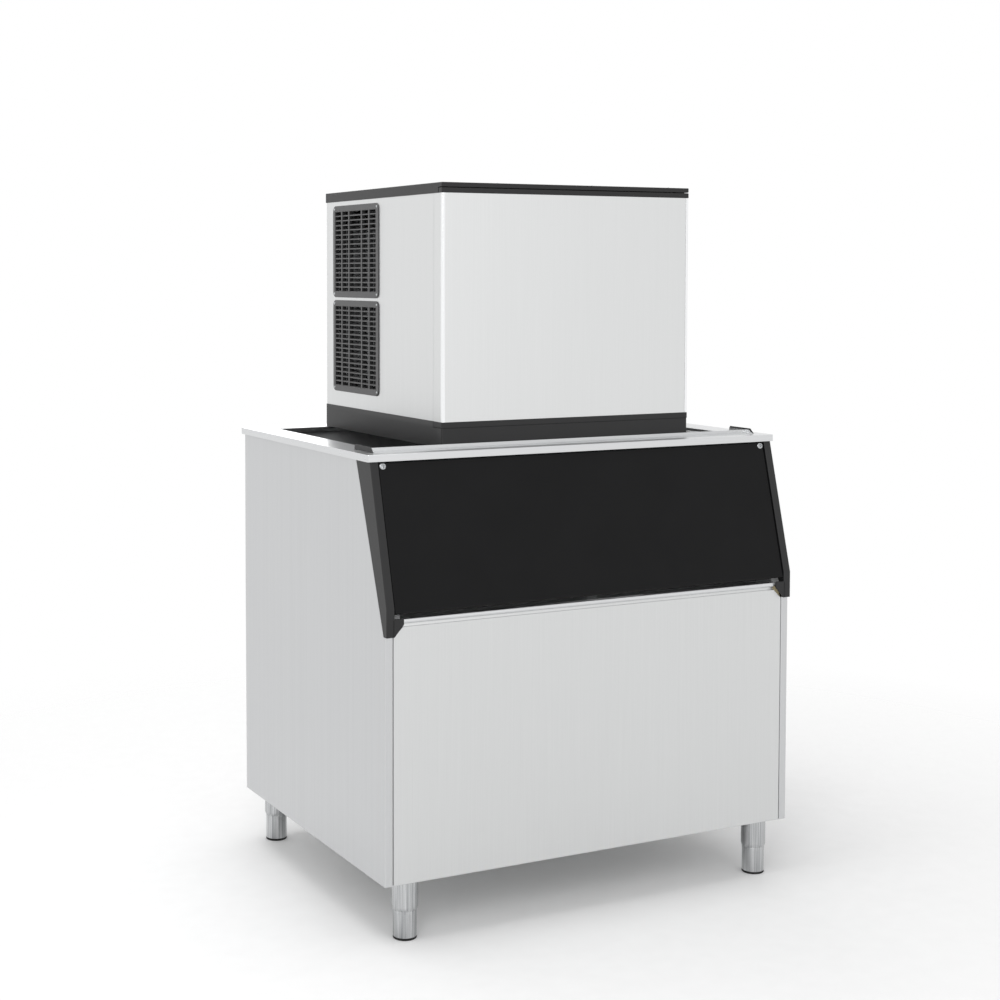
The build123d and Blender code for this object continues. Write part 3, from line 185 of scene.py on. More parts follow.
def piece(name, bm, finish, nodes, shift=BIN, thick=0.0, inside=None, smooth=35):
    """Closes a bmesh into an object in metres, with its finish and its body."""
    bmesh.ops.recalc_face_normals(bm, faces=bm.faces)
    if inside is not None:
        centre = Vector(inside)
        lean = sum(f.normal.dot(f.calc_center_median() - centre) * f.calc_area() for f in bm.faces)
        if lean < 0:
            bmesh.ops.reverse_faces(bm, faces=bm.faces)
    for v in bm.verts:
        v.co = (v.co + shift) * MM
    mesh = bpy.data.meshes.new(name)
    bm.to_mesh(mesh)
    bm.free()
    ob = bpy.data.objects.new(name, mesh)
    bpy.context.scene.collection.objects.link(ob)
    mesh.materials.append(finish)
    mesh.polygons.foreach_set("use_smooth", [True] * len(mesh.polygons))
    mesh.set_sharp_from_angle(angle=math.radians(smooth))
    if thick:
        sheet = ob.modifiers.new("sheet", "SOLIDIFY")
        sheet.thickness = thick * MM
        sheet.offset = -1
        sheet.use_even_offset = True
    level = ob.modifiers.new("flat faces stay flat", "WEIGHTED_NORMAL")
    level.keep_sharp = True
    level.weight = 100
    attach(ob, body_of_node[nodes[0]])
    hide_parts(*nodes)
    made_pieces.append(ob)
    print(name, len(mesh.polygons), "faces")
    return ob


def mirror_x(bm):
    """Turns a right-hand piece into the left-hand one."""
    for v in bm.verts:
        v.co.x = -v.co.x
    bmesh.ops.reverse_faces(bm, faces=bm.faces)


def from_cad(node, finish, smooth=32):
    """A welded copy of a CAD node, for pieces that the casing hides."""
    bm = bmesh.new()
    bm.from_mesh(frame["nodes"][node].data)
    bmesh.ops.remove_doubles(bm, verts=bm.verts, dist=2e-5)
    bmesh.ops.dissolve_limit(bm, angle_limit=math.radians(1.0), verts=bm.verts, edges=bm.edges)
    for v in bm.verts:
        v.co /= MM
    return piece(node + "_look", bm, finish, [node], shift=WORLD, smooth=smooth)


# %% [markdown]
# ## Finishes
# One function turns a written sRGB colour into the linear value that the shader wants, and
# one adds a node and sets its sockets. Patterns sit on Object coordinates, which are metres
# here, so a noise scale is one over the real size of the grain.

# %% Finish helpers
def linear(code):
    """A written sRGB colour as linear values."""
    out = []
    for i in (0, 2, 4):
        c = int(code[i:i + 2], 16) / 255
        out.append(c / 12.92 if c <= 0.04045 else ((c + 0.055) / 1.055) ** 2.4)
    return (*out, 1.0)


def add(tree, kind, links=None, **values):
    """Adds a node, sets its sockets by name, and joins outputs to them."""
    node = tree.nodes.new(kind)
    for key, value in values.items():
        node.inputs[key.replace("_", " ")].default_value = value
    for key, source in (links or {}).items():
        tree.links.new(source, node.inputs[key])
    return node


def grain(tree, size, detail=3.0, seed=0.0):
    """Noise whose grains measure size millimetres along x, y and z."""
    coords = add(tree, "ShaderNodeTexCoord")
    scale = add(tree, "ShaderNodeMapping", {"Vector": coords.outputs["Object"]},
                Scale=[1000.0 / s for s in size], Location=(seed, seed * 0.7, seed * 1.3))
    return add(tree, "ShaderNodeTexNoise", {"Vector": scale.outputs["Vector"]},
               Scale=1.0, Detail=detail, Roughness=0.55)


def ramp(tree, source, stops):
    """A ramp over noise: stops are (position, sRGB code)."""
    node = add(tree, "ShaderNodeValToRGB", {"Fac": source})
    node.color_ramp.elements[0].position = stops[0][0]
    node.color_ramp.elements[0].color = linear(stops[0][1])
    node.color_ramp.elements[1].position = stops[-1][0]
    node.color_ramp.elements[1].color = linear(stops[-1][1])
    for where, code in stops[1:-1]:
        node.color_ramp.elements.new(where).color = linear(code)
    return node


def spread(tree, source, low, high):
    """Maps noise from 0.3 to 0.7 onto low to high."""
    node = add(tree, "ShaderNodeMapRange", {"Value": source}, From_Min=0.3, From_Max=0.7,
               To_Min=low, To_Max=high)
    return node


def finish(name, **values):
    """A new material with one Principled shader, and its node tree."""
    mat = bpy.data.materials.new(name)
    mat.use_nodes = True
    tree = mat.node_tree
    shader = tree.nodes["Principled BSDF"]
    for key, value in values.items():
        shader.inputs[key.replace("_", " ")].default_value = value
    return mat, tree, shader


# %% [markdown]
# ### Stainless sheet
# Cold-rolled 430 sheet with a brushed face. Fine parallel scratches run up the cabinet. They
# stretch every highlight across the grain and make the sheet read as satin, not as paint. The
# scratches are noise drawn out along z, which drives colour, roughness and a very low bump.

# %% Stainless finishes
def brushed(name, dark, light, rough, along=(1.2, 1.2, 240.0), bump=0.03, seed=0.0):
    """Brushed metal with its grain along the longest size."""
    mat, tree, shader = finish(name, Metallic=1.0)
    fine = grain(tree, along, 4.0, seed)
    broad = grain(tree, [s * 9 for s in along], 2.0, seed + 3.0)
    tone = ramp(tree, fine.outputs["Fac"], [(0.28, dark), (0.72, light)])
    tree.links.new(tone.outputs["Color"], shader.inputs["Base Color"])
    wear = spread(tree, broad.outputs["Fac"], rough - 0.03, rough + 0.03)
    tree.links.new(wear.outputs["Result"], shader.inputs["Roughness"])
    relief = add(tree, "ShaderNodeBump", {"Height": fine.outputs["Fac"]}, Strength=bump, Distance=0.0002)
    tree.links.new(relief.outputs["Normal"], shader.inputs["Normal"])
    return mat


STEEL = brushed("brushed_stainless_sheet", "D1D2D2", "D6D7D7", 0.40, (0.8, 0.8, 300.0), 0.015)
# The bin's side sheets are the same stainless as the front, given a darker copy of it: painted shade for sides that
# catch less light than the front.
STEEL_SIDE_SHADED = brushed("brushed_stainless_side_sheet_painted_shade", "C7C8C9", "CCCDCE", 0.42, (0.8, 0.8, 300.0), 0.015, 11.0)
STEEL_HEAD = brushed("brushed_stainless_sheet_head", "D7D8D8", "DBDCDC", 0.38, (0.8, 0.8, 300.0), 0.015, 5.0)
RIM_STEEL = brushed("polished_stainless_rim", "D2D3D4", "D8D9DA", 0.30, (240.0, 1.5, 1.5), 0.02, 9.0)
# The legs' long dark and pale streaks are partly the tube's drawing grain and partly painted reflection: the dark
# bands a polished tube mirrors from its surroundings.
LEG_STEEL_STREAKED = brushed("drawn_stainless_tube_painted_reflection_streaks", "8E9092", "DCDDDE", 0.22, (5.0, 5.0, 260.0), 0.03, 2.0)
# The door caps' chrome is drawn darker and mottled: painted reflection, standing in for the dark surroundings a chrome
# dome mirrors.
CHROME_MOTTLED = brushed("chromed_steel_painted_reflection_mottle", "8F9193", "C6C8CA", 0.14, (3.0, 3.0, 3.0), 0.01, 4.0)
BRIGHT = brushed("bright_anodised_aluminium", "ECEDEE", "F4F5F6", 0.22, (1.0, 1.0, 120.0), 0.02, 6.0)
ZINC = brushed("zinc_plated_steel", "A9ACAD", "BFC2C3", 0.42, (14.0, 14.0, 14.0), 0.05, 7.0)
FINS = brushed("mill_aluminium_fins", "B8BABB", "CFD0D1", 0.38, (4.0, 4.0, 60.0), 0.05, 8.0)
NICKEL = brushed("nickel_plated_copper", "B9B6AE", "CFCCC4", 0.25, (8.0, 8.0, 8.0), 0.03, 3.0)
COPPER = brushed("drawn_copper_tube", "B0694A", "C98863", 0.28, (6.0, 6.0, 6.0), 0.04, 1.0)
print("metals", len(bpy.data.materials))

# %% [markdown]
# ### Plastics and paint
# The black mouldings are ABS with a fine spark-eroded texture. It breaks the highlight up,
# which keeps the faces dark from the front and pale at a low angle. The door is pressed from
# a matter sheet and stays darker. The liner is light grey polyethylene with a soft, waxy face.

# %% Plastic finishes
def moulded(name, dark, light, rough, size=0.9, bump=0.12, gloss=0.5, seed=0.0, sheen=0.0):
    """A moulded plastic with a fine texture and a faint drift of tone."""
    mat, tree, shader = finish(name, Specular_IOR_Level=gloss, Sheen_Weight=sheen, Sheen_Roughness=0.35)
    fine = grain(tree, (size, size, size), 3.0, seed)
    broad = grain(tree, (130.0, 130.0, 130.0), 2.0, seed + 2.0)
    tone = ramp(tree, broad.outputs["Fac"], [(0.3, dark), (0.7, light)])
    tree.links.new(tone.outputs["Color"], shader.inputs["Base Color"])
    wear = spread(tree, fine.outputs["Fac"], rough - 0.05, rough + 0.05)
    tree.links.new(wear.outputs["Result"], shader.inputs["Roughness"])
    relief = add(tree, "ShaderNodeBump", {"Height": fine.outputs["Fac"]}, Strength=bump, Distance=0.0002)
    tree.links.new(relief.outputs["Normal"], shader.inputs["Normal"])
    return mat


ABS = moulded("moulded_black_abs", "161617", "1A1A1B", 0.42, gloss=0.42)
ABS_LID = moulded("moulded_black_abs_lid", "131314", "171718", 0.42, gloss=0.42, sheen=0.05, seed=2.0)
# The grilles are the same black ABS as the other mouldings, drawn paler: painted light for the low-angle light on the
# head's side.
ABS_GRILLE_LIT = moulded("moulded_black_abs_grille_painted_light", "323233", "3A3A3B", 0.38, gloss=0.6, sheen=0.15, seed=6.5)
ABS_DOOR = moulded("moulded_black_abs_door", "0E0E0F", "111112", 0.46, gloss=0.14, seed=3.0)
LINER = moulded("grey_polyethylene_liner", "A9AAAB", "B3B4B5", 0.5, 3.0, 0.05, seed=4.0)
FOAM = moulded("polyurethane_foam", "D9C89A", "E3D4AC", 0.9, 2.0, 0.5, 0.3, 5.0)
ENAMEL = moulded("black_stove_enamel", "1A1A1B", "202021", 0.25, 4.0, 0.03, seed=6.0)
RUBBER = moulded("black_rubber", "1B1B1B", "232323", 0.7, 0.6, 0.3, 0.35, 7.0)
WHITE = moulded("white_polypropylene", "E4E5E3", "ECEDEB", 0.42, 2.0, 0.04, seed=8.0)
CLEAR = moulded("clear_polycarbonate", "E3EAEC", "EDF3F4", 0.12, 6.0, 0.01, seed=9.0)
CLEAR.node_tree.nodes["Principled BSDF"].inputs["Transmission Weight"].default_value = 0.85
print("finishes", len(bpy.data.materials))

# %% [markdown]
# ## Bin
# ### Side panels
# Each side is one sheet. It is cut along the surround's slope, folded round the front corner
# into a narrow flange, and folded again at the rear. Drawn as one surface with rounded
# folds and given its thickness last, it shows the same soft corner line as the bent sheet.

# %% Side panels
FOOT_Z = at("door_trim_left", 0, 2, BIN_Z)
EDGE_Y0 = 8.0
EDGE_Y1 = at("door_trim_left", 1, 1, BIN_Y)
FLANGE = X_OUT - at("bin_side_panel_right", 0, 0, 0)
FOLD_IN = 6.0
REAR_FLANGE = 20.0


def side_panel(side):
    bm = bmesh.new()
    x, y1 = X_OUT, REAR_Y
    plan = [(x - FLANGE, FOLD_IN), (x - FLANGE, 0), (x, 0), (x, EDGE_Y0), (x, y1), (x - REAR_FLANGE, y1)]
    low = [bm.verts.new((px, py, 0)) for px, py in plan]
    mid = [bm.verts.new((px, py, FOOT_Z)) for px, py in plan]
    for i in range(5):
        bm.faces.new((low[i], low[i + 1], mid[i + 1], mid[i]))
    tops = [bm.verts.new((x, EDGE_Y1, SIDE_TOP)), bm.verts.new((x, y1, SIDE_TOP)),
            bm.verts.new((x - REAR_FLANGE, y1, SIDE_TOP))]
    for i in range(2):
        bm.faces.new((mid[i + 3], mid[i + 4], tops[i + 1], tops[i]))
    folds = edges_at(bm, lambda c: abs(c.x - x) < 0.01 and c.y < 0.01)
    folds += edges_at(bm, lambda c: abs(c.x - x) < 0.01 and abs(c.y - y1) < 0.01)
    folds += edges_at(bm, lambda c: abs(c.x - x + FLANGE) < 0.01 and c.y < 0.01)
    soften(bm, folds, 2.5, 4)
    under = slab(bm, x - FLANGE, x - SHEET, 3, y1 - 3, 0, SHEET)
    if side == "left":
        mirror_x(bm)
        return piece("bin_side_sheet_left", bm, STEEL_SIDE_SHADED, ["bin_side_panel_left"],
                     thick=SHEET, inside=(0, y1 / 2, 500))
    return piece("bin_side_sheet_right", bm, STEEL_SIDE_SHADED, ["bin_side_panel_right"],
                 thick=SHEET, inside=(0, y1 / 2, 500))


for side in ("left", "right"):
    side_panel(side)

# %% [markdown]
# ### Front panel and sill
# The front sheet has cut upper corners, so it clears the feet of the door surround. Its sides
# step back behind the corner flanges and leave a narrow dark joint. The top edge is rolled
# into a tube, which stiffens the sill and gives a hand a round edge. The sheet steps back under
# that tube, and the step lies in its shadow.

# %% Front panel
PANEL_X = X_OUT - FLANGE - 2.0
CUT = 26.0 + 22.0 - (X_OUT - PANEL_X) + 2.0
SILL_Z = at("bin_front_panel", 1, 2, BIN_Z) - 14.0
ROLL_R = 7.0
WING = 16.0
JOGGLE = 7.0


def front_panel():
    bm = bmesh.new()
    e, c = PANEL_X, CUT
    z_side = FOOT_Z - 2
    outline = [(-e, 0), (e, 0), (e, z_side), (e - c, SILL_Z - JOGGLE), (-e + c, SILL_Z - JOGGLE), (-e, z_side)]
    verts = [bm.verts.new((px, 0, pz)) for px, pz in outline]
    bm.faces.new(verts)
    right = [e_ for e_ in bm.edges if all(v.co.x > e - 0.01 for v in e_.verts)]
    left = [e_ for e_ in bm.edges if all(v.co.x < -e + 0.01 for v in e_.verts)]
    foot = [e_ for e_ in bm.edges if all(v.co.z < 0.01 for v in e_.verts)]
    head = [e_ for e_ in bm.edges if all(v.co.z > SILL_Z - JOGGLE - 0.01 for v in e_.verts)]
    folds = list(right + left + foot + head)
    for run, steps in ((right, ((0, FOLD_IN, 0), (WING, 0, 0))), (left, ((0, FOLD_IN, 0), (-WING, 0, 0))),
                       (foot, ((0, 9, 0),)), (head, ((0, 4, 0), (0, 0, JOGGLE)))):
        edge = run
        for step in steps:
            out = bmesh.ops.extrude_edge_only(bm, edges=edge)["geom"]
            bmesh.ops.translate(bm, verts=[g for g in out if isinstance(g, bmesh.types.BMVert)], vec=step)
            edge = [g for g in out if isinstance(g, bmesh.types.BMEdge)
                    and all(v in out for v in g.verts)]
    soften(bm, folds, 2.0, 4)
    flat = piece("bin_front_sheet", bm, STEEL, ["bin_front_panel"],
                 thick=SHEET, inside=(0, 300, 300))
    bm = bmesh.new()
    end = e - c
    roll_y = ROLL_R - 3.0
    tube = bmesh.ops.create_cone(bm, cap_ends=True, segments=40, radius1=ROLL_R, radius2=ROLL_R, depth=2 * end)
    turn = Matrix.Rotation(math.pi / 2, 3, "Y")
    for v in tube["verts"]:
        v.co = turn @ v.co + Vector((0, roll_y, SILL_Z + ROLL_R))
    soften(bm, sharp_edges(bm), 0.8, 2)
    slab(bm, -end, end, roll_y, at("bin_front_panel", 1, 1, BIN_Y), SILL_Z, SILL_Z + SHEET)
    sill = piece("bin_front_sill", bm, RIM_STEEL, ["bin_front_panel"])
    return flat, sill


front_panel()

# %% [markdown]
# ### Rim
# A folded frame caps the cabinet. Its outer lip laps over the sides, and a short inner lip
# covers the liner's edge. `tray` draws a plate with a hole in it and walls from both edges.
# The base of the head is the same form the other way up.

# %% Rim
def tray(bm, outer, hole, plate_z, outer_z, hole_z, corner, edge):
    """A plate with a rectangular hole, with walls from its outer edge and from the hole."""
    x0, x1, y0, y1 = outer
    hx0, hx1, hy0, hy1 = hole
    ring = [(x0, y0), (x1, y0), (x1, y1), (x0, y1)]
    cut = [(hx0, hy0), (hx1, hy0), (hx1, hy1), (hx0, hy1)]
    top = [bm.verts.new((*p, plate_z)) for p in ring]
    low = [bm.verts.new((*p, outer_z)) for p in ring]
    inner = [bm.verts.new((*p, plate_z)) for p in cut]
    inner_low = [bm.verts.new((*p, hole_z)) for p in cut]
    for i in range(4):
        j = (i + 1) % 4
        bm.faces.new((top[i], top[j], inner[j], inner[i]))
        bm.faces.new((low[i], low[j], top[j], top[i]))
        bm.faces.new((inner[i], inner[j], inner_low[j], inner_low[i]))
    ups = [e for e in bm.edges if e.verts[0] in low + top and e.verts[1] in low + top
           and abs(e.verts[0].co.z - e.verts[1].co.z) > 1]
    soften(bm, ups, corner, 5)
    level = [e for e in bm.edges if len(e.link_faces) == 2 and e.calc_face_angle(0) > 1
             and all(abs(v.co.z - plate_z) < 0.01 for v in e.verts)]
    soften(bm, level, edge, 3)


rim_lo, rim_hi = box("bin_rim")
RIM_X = rim_hi.x / MM
RIM_Y0 = rim_lo.y / MM - BIN_Y
RIM_Y1 = rim_hi.y / MM - BIN_Y
OPEN_X = X_OUT - 74.0
OPEN_Y0 = RIM_Y0 + 120.0
OPEN_Y1 = REAR_Y - 74.0
LIP_Z = RIM_TOP - 18.0

bm = bmesh.new()
tray(bm, (-RIM_X, RIM_X, RIM_Y0, RIM_Y1), (-OPEN_X, OPEN_X, OPEN_Y0, OPEN_Y1), RIM_TOP, LIP_Z,
     RIM_TOP - 14.0, 4.0, 1.6)
piece("bin_rim_frame", bm, RIM_STEEL, ["bin_rim"], thick=SHEET,
      inside=(0, RIM_Y0 + 60, RIM_TOP - 9), smooth=30)

bm = bmesh.new()
channel_y = RIM_Y0 + 45.0
channel_z = RIM_TOP - SHEET - 38.0
channel_x = X_OUT - SHEET - 42.0 - 3.3
slab(bm, -channel_x, channel_x, channel_y, channel_y + SHEET, channel_z, RIM_TOP - SHEET)
slab(bm, -channel_x, channel_x, channel_y + 25 - SHEET, channel_y + 25, channel_z, RIM_TOP - SHEET)
slab(bm, -channel_x, channel_x, channel_y, channel_y + 25, channel_z, channel_z + SHEET)
piece("bin_rim_channel", bm, RIM_STEEL, ["bin_rim"])

# %% [markdown]
# ### Stop bar and ear covers
# A low bright angle runs across the rim, and the head's base is pushed up against it. Its ends
# are folded back as ears. A black cap with a slanted front covers each ear's outer face.

# %% Stop bar
stop_lo, stop_hi = box("head_stop_bar")
ear_lo, ear_hi = box("ear_cover_right")
BAR_X = stop_hi.x / MM
BAR_Y = stop_lo.y / MM - BIN_Y + 26.0
BAR_TOP = stop_hi.z / MM - BIN_Z
EAR_TOP = ear_hi.z / MM - BIN_Z
EAR_Y1 = ear_hi.y / MM - BIN_Y
EAR_Y0 = ear_lo.y / MM - BIN_Y

bm = bmesh.new()
slab(bm, -BAR_X, BAR_X, BAR_Y - SHEET, BAR_Y, RIM_TOP, BAR_TOP)
soften(bm, edges_at(bm, lambda c: c.z > BAR_TOP - 0.1), 0.5, 2)
slab(bm, -BAR_X, BAR_X, BAR_Y - 26, BAR_Y, RIM_TOP, RIM_TOP + SHEET)
for side in (-1, 1):
    a, b = sorted((side * (BAR_X - 2.0), side * BAR_X))
    prism(bm, [(EAR_Y0, RIM_TOP), (EAR_Y1, RIM_TOP), (EAR_Y1, BAR_TOP), (EAR_Y0 + 16, BAR_TOP)], "x", a, b)
piece("head_stop_angle", bm, RIM_STEEL, ["head_stop_bar"])

for side, sign in (("left", -1), ("right", 1)):
    bm = bmesh.new()
    a, b = sorted((sign * BAR_X, sign * (BAR_X + 4.0)))
    prism(bm, [(EAR_Y0, RIM_TOP), (EAR_Y1, RIM_TOP), (EAR_Y1, EAR_TOP), (EAR_Y0 + 16, EAR_TOP)], "x", a, b)
    soften(bm, sharp_edges(bm), 0.8, 2)
    piece("ear_cap_" + side, bm, ABS, ["ear_cover_" + side])

# %% [markdown]
# ### Door surround
# Two hollow black mouldings close the cabinet's cut corners beside the door. Each widens to
# the top and is upright at its foot, where a short web reaches under the sill's end. The
# outline is drawn through the moulding's width and its edges are rounded.

# %% Door surround
def front_line(z, behind=0.0):
    """y of the surround's sloping face at height z, or of a plane that far behind it."""
    return -10.0 + (z - 690.0) * math.tan(TILT) + behind / math.cos(TILT)


FRAME_X = X_OUT - 22.0


def surround(side):
    bm = bmesh.new()
    outline = [(-10, FOOT_Z), (-10, 690), (front_line(SIDE_TOP), SIDE_TOP), (EDGE_Y1, SIDE_TOP),
               (EDGE_Y0, FOOT_Z)]
    prism(bm, outline, "x", FRAME_X, X_OUT)
    soften(bm, sharp_edges(bm), 1.6, 3)
    before = set(bm.verts)
    web = [(FRAME_X + 4, FOOT_Z), (FRAME_X, FOOT_Z), (FRAME_X - 26, 650), (FRAME_X - 26, 665), (FRAME_X + 4, 665)]
    prism(bm, web, "y", -10, -5)
    soften(bm, sharp_edges(bm, verts=[v for v in bm.verts if v not in before]), 1.2, 3)
    if side == "left":
        mirror_x(bm)
    return piece("surround_moulding_" + side, bm, ABS, ["door_trim_" + side])


for side in ("left", "right"):
    surround(side)

# %% [markdown]
# ### Door
# The flap is one moulded leaf between the surrounds, hung from two pins near its top corners.
# It slopes with the surround and lies just behind its face. It is drawn upright about the
# hinge line, with the finger recess let into its lower inner edge, and then leaned over.

# %% Door
DOOR_T = 24.0
PIVOT_Z = LIP_Z - 18.5
PIVOT_Y = front_line(PIVOT_Z, 3.0 + DOOR_T / 2)
DOOR_HALF = FRAME_X - 2.0
DOOR_LONG = (PIVOT_Z - 671.0) / math.cos(TILT) - DOOR_T / 2 * math.tan(TILT)
lean = Matrix.Rotation(-TILT, 3, "X")


def into_slope(verts):
    """Leans verts drawn about the hinge line into the door's plane."""
    for v in verts:
        v.co = lean @ v.co + Vector((0, PIVOT_Y, PIVOT_Z))


bm = bmesh.new()
half, t, low = DOOR_HALF, DOOR_T / 2, -DOOR_LONG
slab(bm, -half, half, -t, t, low, 14.0)
soften(bm, sharp_edges(bm), 3.0, 4)
gx, gz = half / 4, low + 16.0
for point, normal in (((gx, 0, 0), (1, 0, 0)), ((-gx, 0, 0), (1, 0, 0)), ((0, 0, gz), (0, 0, 1)), ((0, 0, 0), (0, 1, 0))):
    bmesh.ops.bisect_plane(bm, geom=bm.verts[:] + bm.edges[:] + bm.faces[:], plane_co=point, plane_no=normal)
recess = [f for f in bm.faces if abs(f.calc_center_median().x) < gx and f.calc_center_median().y > 0
          and f.calc_center_median().z < gz]
bmesh.ops.delete(bm, geom=recess, context="FACES")
rim_loop = [e for e in bm.edges if e.is_boundary]
corners = {}
for sign in (-1, 1):
    corners[sign] = bm.verts.new((sign * gx, 0, gz))


def lip(test):
    found = [v for v in {v for e in rim_loop for v in e.verts} if test(v.co)]
    return found


for sign in (-1, 1):
    wall = lip(lambda c, s=sign: abs(c.x - s * gx) < 0.01)
    wall.sort(key=lambda v: math.atan2(v.co.z - gz, v.co.y))
    bm.faces.new([corners[sign]] + wall)
back = sorted(lip(lambda c: abs(c.z - gz) < 0.01 and c.y > t - 0.01), key=lambda v: v.co.x)
base = sorted(lip(lambda c: abs(c.y) < 0.01 and c.z < low + 0.01), key=lambda v: v.co.x)
bm.faces.new([corners[-1], corners[1]] + back[::-1])
bm.faces.new([corners[-1], corners[1]] + base[::-1])
into_slope(bm.verts)
piece("bin_door_leaf", bm, ABS_DOOR, ["bin_door"], smooth=30)

bm = bmesh.new()
CAP_R, CAP_RISE, SLOT, SLOT_LONG = 9.0, 2.5, 1.1, 5.2
for sign in (-1, 1):
    grid = bmesh.ops.create_grid(bm, x_segments=44, y_segments=44, size=1.0)["verts"]
    for v in grid:
        x, y = v.co.x, v.co.y
        x, y = x * math.sqrt(1 - y * y / 2) * CAP_R, y * math.sqrt(1 - x * x / 2) * CAP_R
        r = min(math.hypot(x, y) / CAP_R, 1.0)
        rise = CAP_RISE * math.sqrt(max(1 - r ** 3, 0.0))
        arm = min(abs(x), abs(y)) < SLOT and max(abs(x), abs(y)) < SLOT_LONG
        v.co = Vector((sign * (DOOR_HALF - 11) + x, -DOOR_T / 2 - (rise - 1.6 if arm else rise) + 0.02, 4.0 + y))
into_slope(bm.verts)
piece("door_cap_domes", bm, CHROME_MOTTLED, ["door_cap_screws"], inside=(0, PIVOT_Y + 40, PIVOT_Z), smooth=40)

# %% [markdown]
# ### Legs
# Each leg is a stainless tube, drawn in at its lower end, over a slimmer screw foot. The foot
# stands on a black pad moulded round its end. All three are turned profiles. The foot's
# threaded stem runs up into the hollow tube, so a foot that is screwed out still hangs on it.

# %% Legs
PAD = 5.0
STEM_R = 8.0
THREAD = 0.7
PITCH = 2.0
TUBE_WALL = 2.5
FLOOR_T = 8.0
for place in ("front_left", "front_right", "rear_left", "rear_right"):
    lo, hi = box("leg_sleeve_" + place)
    cx = (lo.x + hi.x) / 2 / MM
    cy = (lo.y + hi.y) / 2 / MM
    bottom = lo.z / MM
    bm = bmesh.new()
    r = (hi.x - lo.x) / 2 / MM
    tall = 150.0 + SHEET - bottom
    lathe(bm, [(0, tall), (r - 0.6, tall), (r, tall - 0.6), (r, 9.5), (r - 0.3, 7.6), (r - 2.0, 1.6), (r - 2.6, 0),
               (STEM_R + 0.4, 0), (STEM_R + 0.4, FLOOR_T), (r - TUBE_WALL, FLOOR_T), (r - TUBE_WALL, tall - 4),
               (0, tall - 4)], (cx, cy, bottom), "z", 64)
    piece("leg_tube_" + place, bm, LEG_STEEL_STREAKED, ["leg_sleeve_" + place], shift=WORLD)
    r = 30.0
    top = bottom - 0.3
    stem_top = box("leg_foot_" + place)[1].z / MM
    turns = int((stem_top - top - 1) / PITCH)
    thread = [(STEM_R - THREAD * (i % 2), stem_top - 1 - i * PITCH / 2) for i in range(2 * turns)]
    bm = bmesh.new()
    lathe(bm, [(0, stem_top), (STEM_R - 1, stem_top), *thread, (STEM_R, top), (r, top), (r + 0.4, top - 0.6), (r + 0.4, top - 6.4), (r, top - 7), (r, PAD + 1.4),
               (r - 1.2, PAD), (0, PAD)], (cx, cy, 0), "z", 64)
    piece("leg_foot_turned_" + place, bm, LEG_STEEL_STREAKED, ["leg_foot_" + place], shift=WORLD)
    bm = bmesh.new()
    lathe(bm, [(0, PAD), (r - 0.6, PAD), (r + 0.2, PAD - 0.8), (r + 0.2, 1.6), (r - 1.2, 0), (0, 0)], (cx, cy, 0), "z", 64)
    piece("leg_pad_" + place, bm, RUBBER, ["leg_foot_" + place], shift=WORLD)

# %% [markdown]
# ## Head
# ### Base
# A deep black tray carries the works. Its floor has the opening through which the ice drops,
# and its walls make the black band round the foot of the head. The walls step down at the
# front, where the cover's lower cap stands on them.

# %% Head base
base_lo, base_hi = box("head_base")
HX = base_hi.x / MM
HEAD_D = (base_hi.y - base_lo.y) / MM
BASE_H = (base_hi.z - base_lo.z) / MM
HEAD_H = at("head_top_cover", 1, 2, HEAD_Z)
SKIN_TOP = at("head_top_cover", 0, 2, HEAD_Z)
SKIN_X = HX - 2.0
SKIN_REAR = HEAD_D - 2.0

FASCIA_H = at("front_cover_cap_lower", 0, 2, HEAD_Z)
COVER_D = (box("front_cover_cap_lower")[1].y - base_lo.y) / MM

bm = bmesh.new()
tray(bm, (-HX, HX, 0, HEAD_D), (10, 350, 270, 455), 0, BASE_H, 26, 5.0, 1.5)
for point, normal in (((0, 0, FASCIA_H), (0, 0, 1)), ((0, COVER_D + 0.3, 0), (0, 1, 0))):
    bmesh.ops.bisect_plane(bm, geom=bm.verts[:] + bm.edges[:] + bm.faces[:], plane_co=point, plane_no=normal)
step = [f for f in bm.faces if f.calc_center_median().y < COVER_D and f.calc_center_median().z > FASCIA_H]
bmesh.ops.delete(bm, geom=step, context="FACES")
piece("head_base_tray", bm, ABS, ["head_base"], shift=HEAD, thick=4.0, inside=(-100, 367, 10))

# %% [markdown]
# ### Casing sheets
# Two brushed side sheets, folded in at the rear, are screwed to the base. The left one is cut
# for the two air grilles. The sheet is laid out as a grid of cells, and the cells of the
# openings are left out.

# %% Casing sheets
low_lo, low_hi = box("grille_lower")
up_lo, up_hi = box("grille_upper")
GRILLE_Y0 = low_lo.y / MM - HEAD_Y
GRILLE_Y1 = low_hi.y / MM - HEAD_Y
GRILLES = [(b[0].z / MM - HEAD_Z, b[1].z / MM - HEAD_Z) for b in (box("grille_lower"), box("grille_upper"))]
GRILLE_IN = 12.0


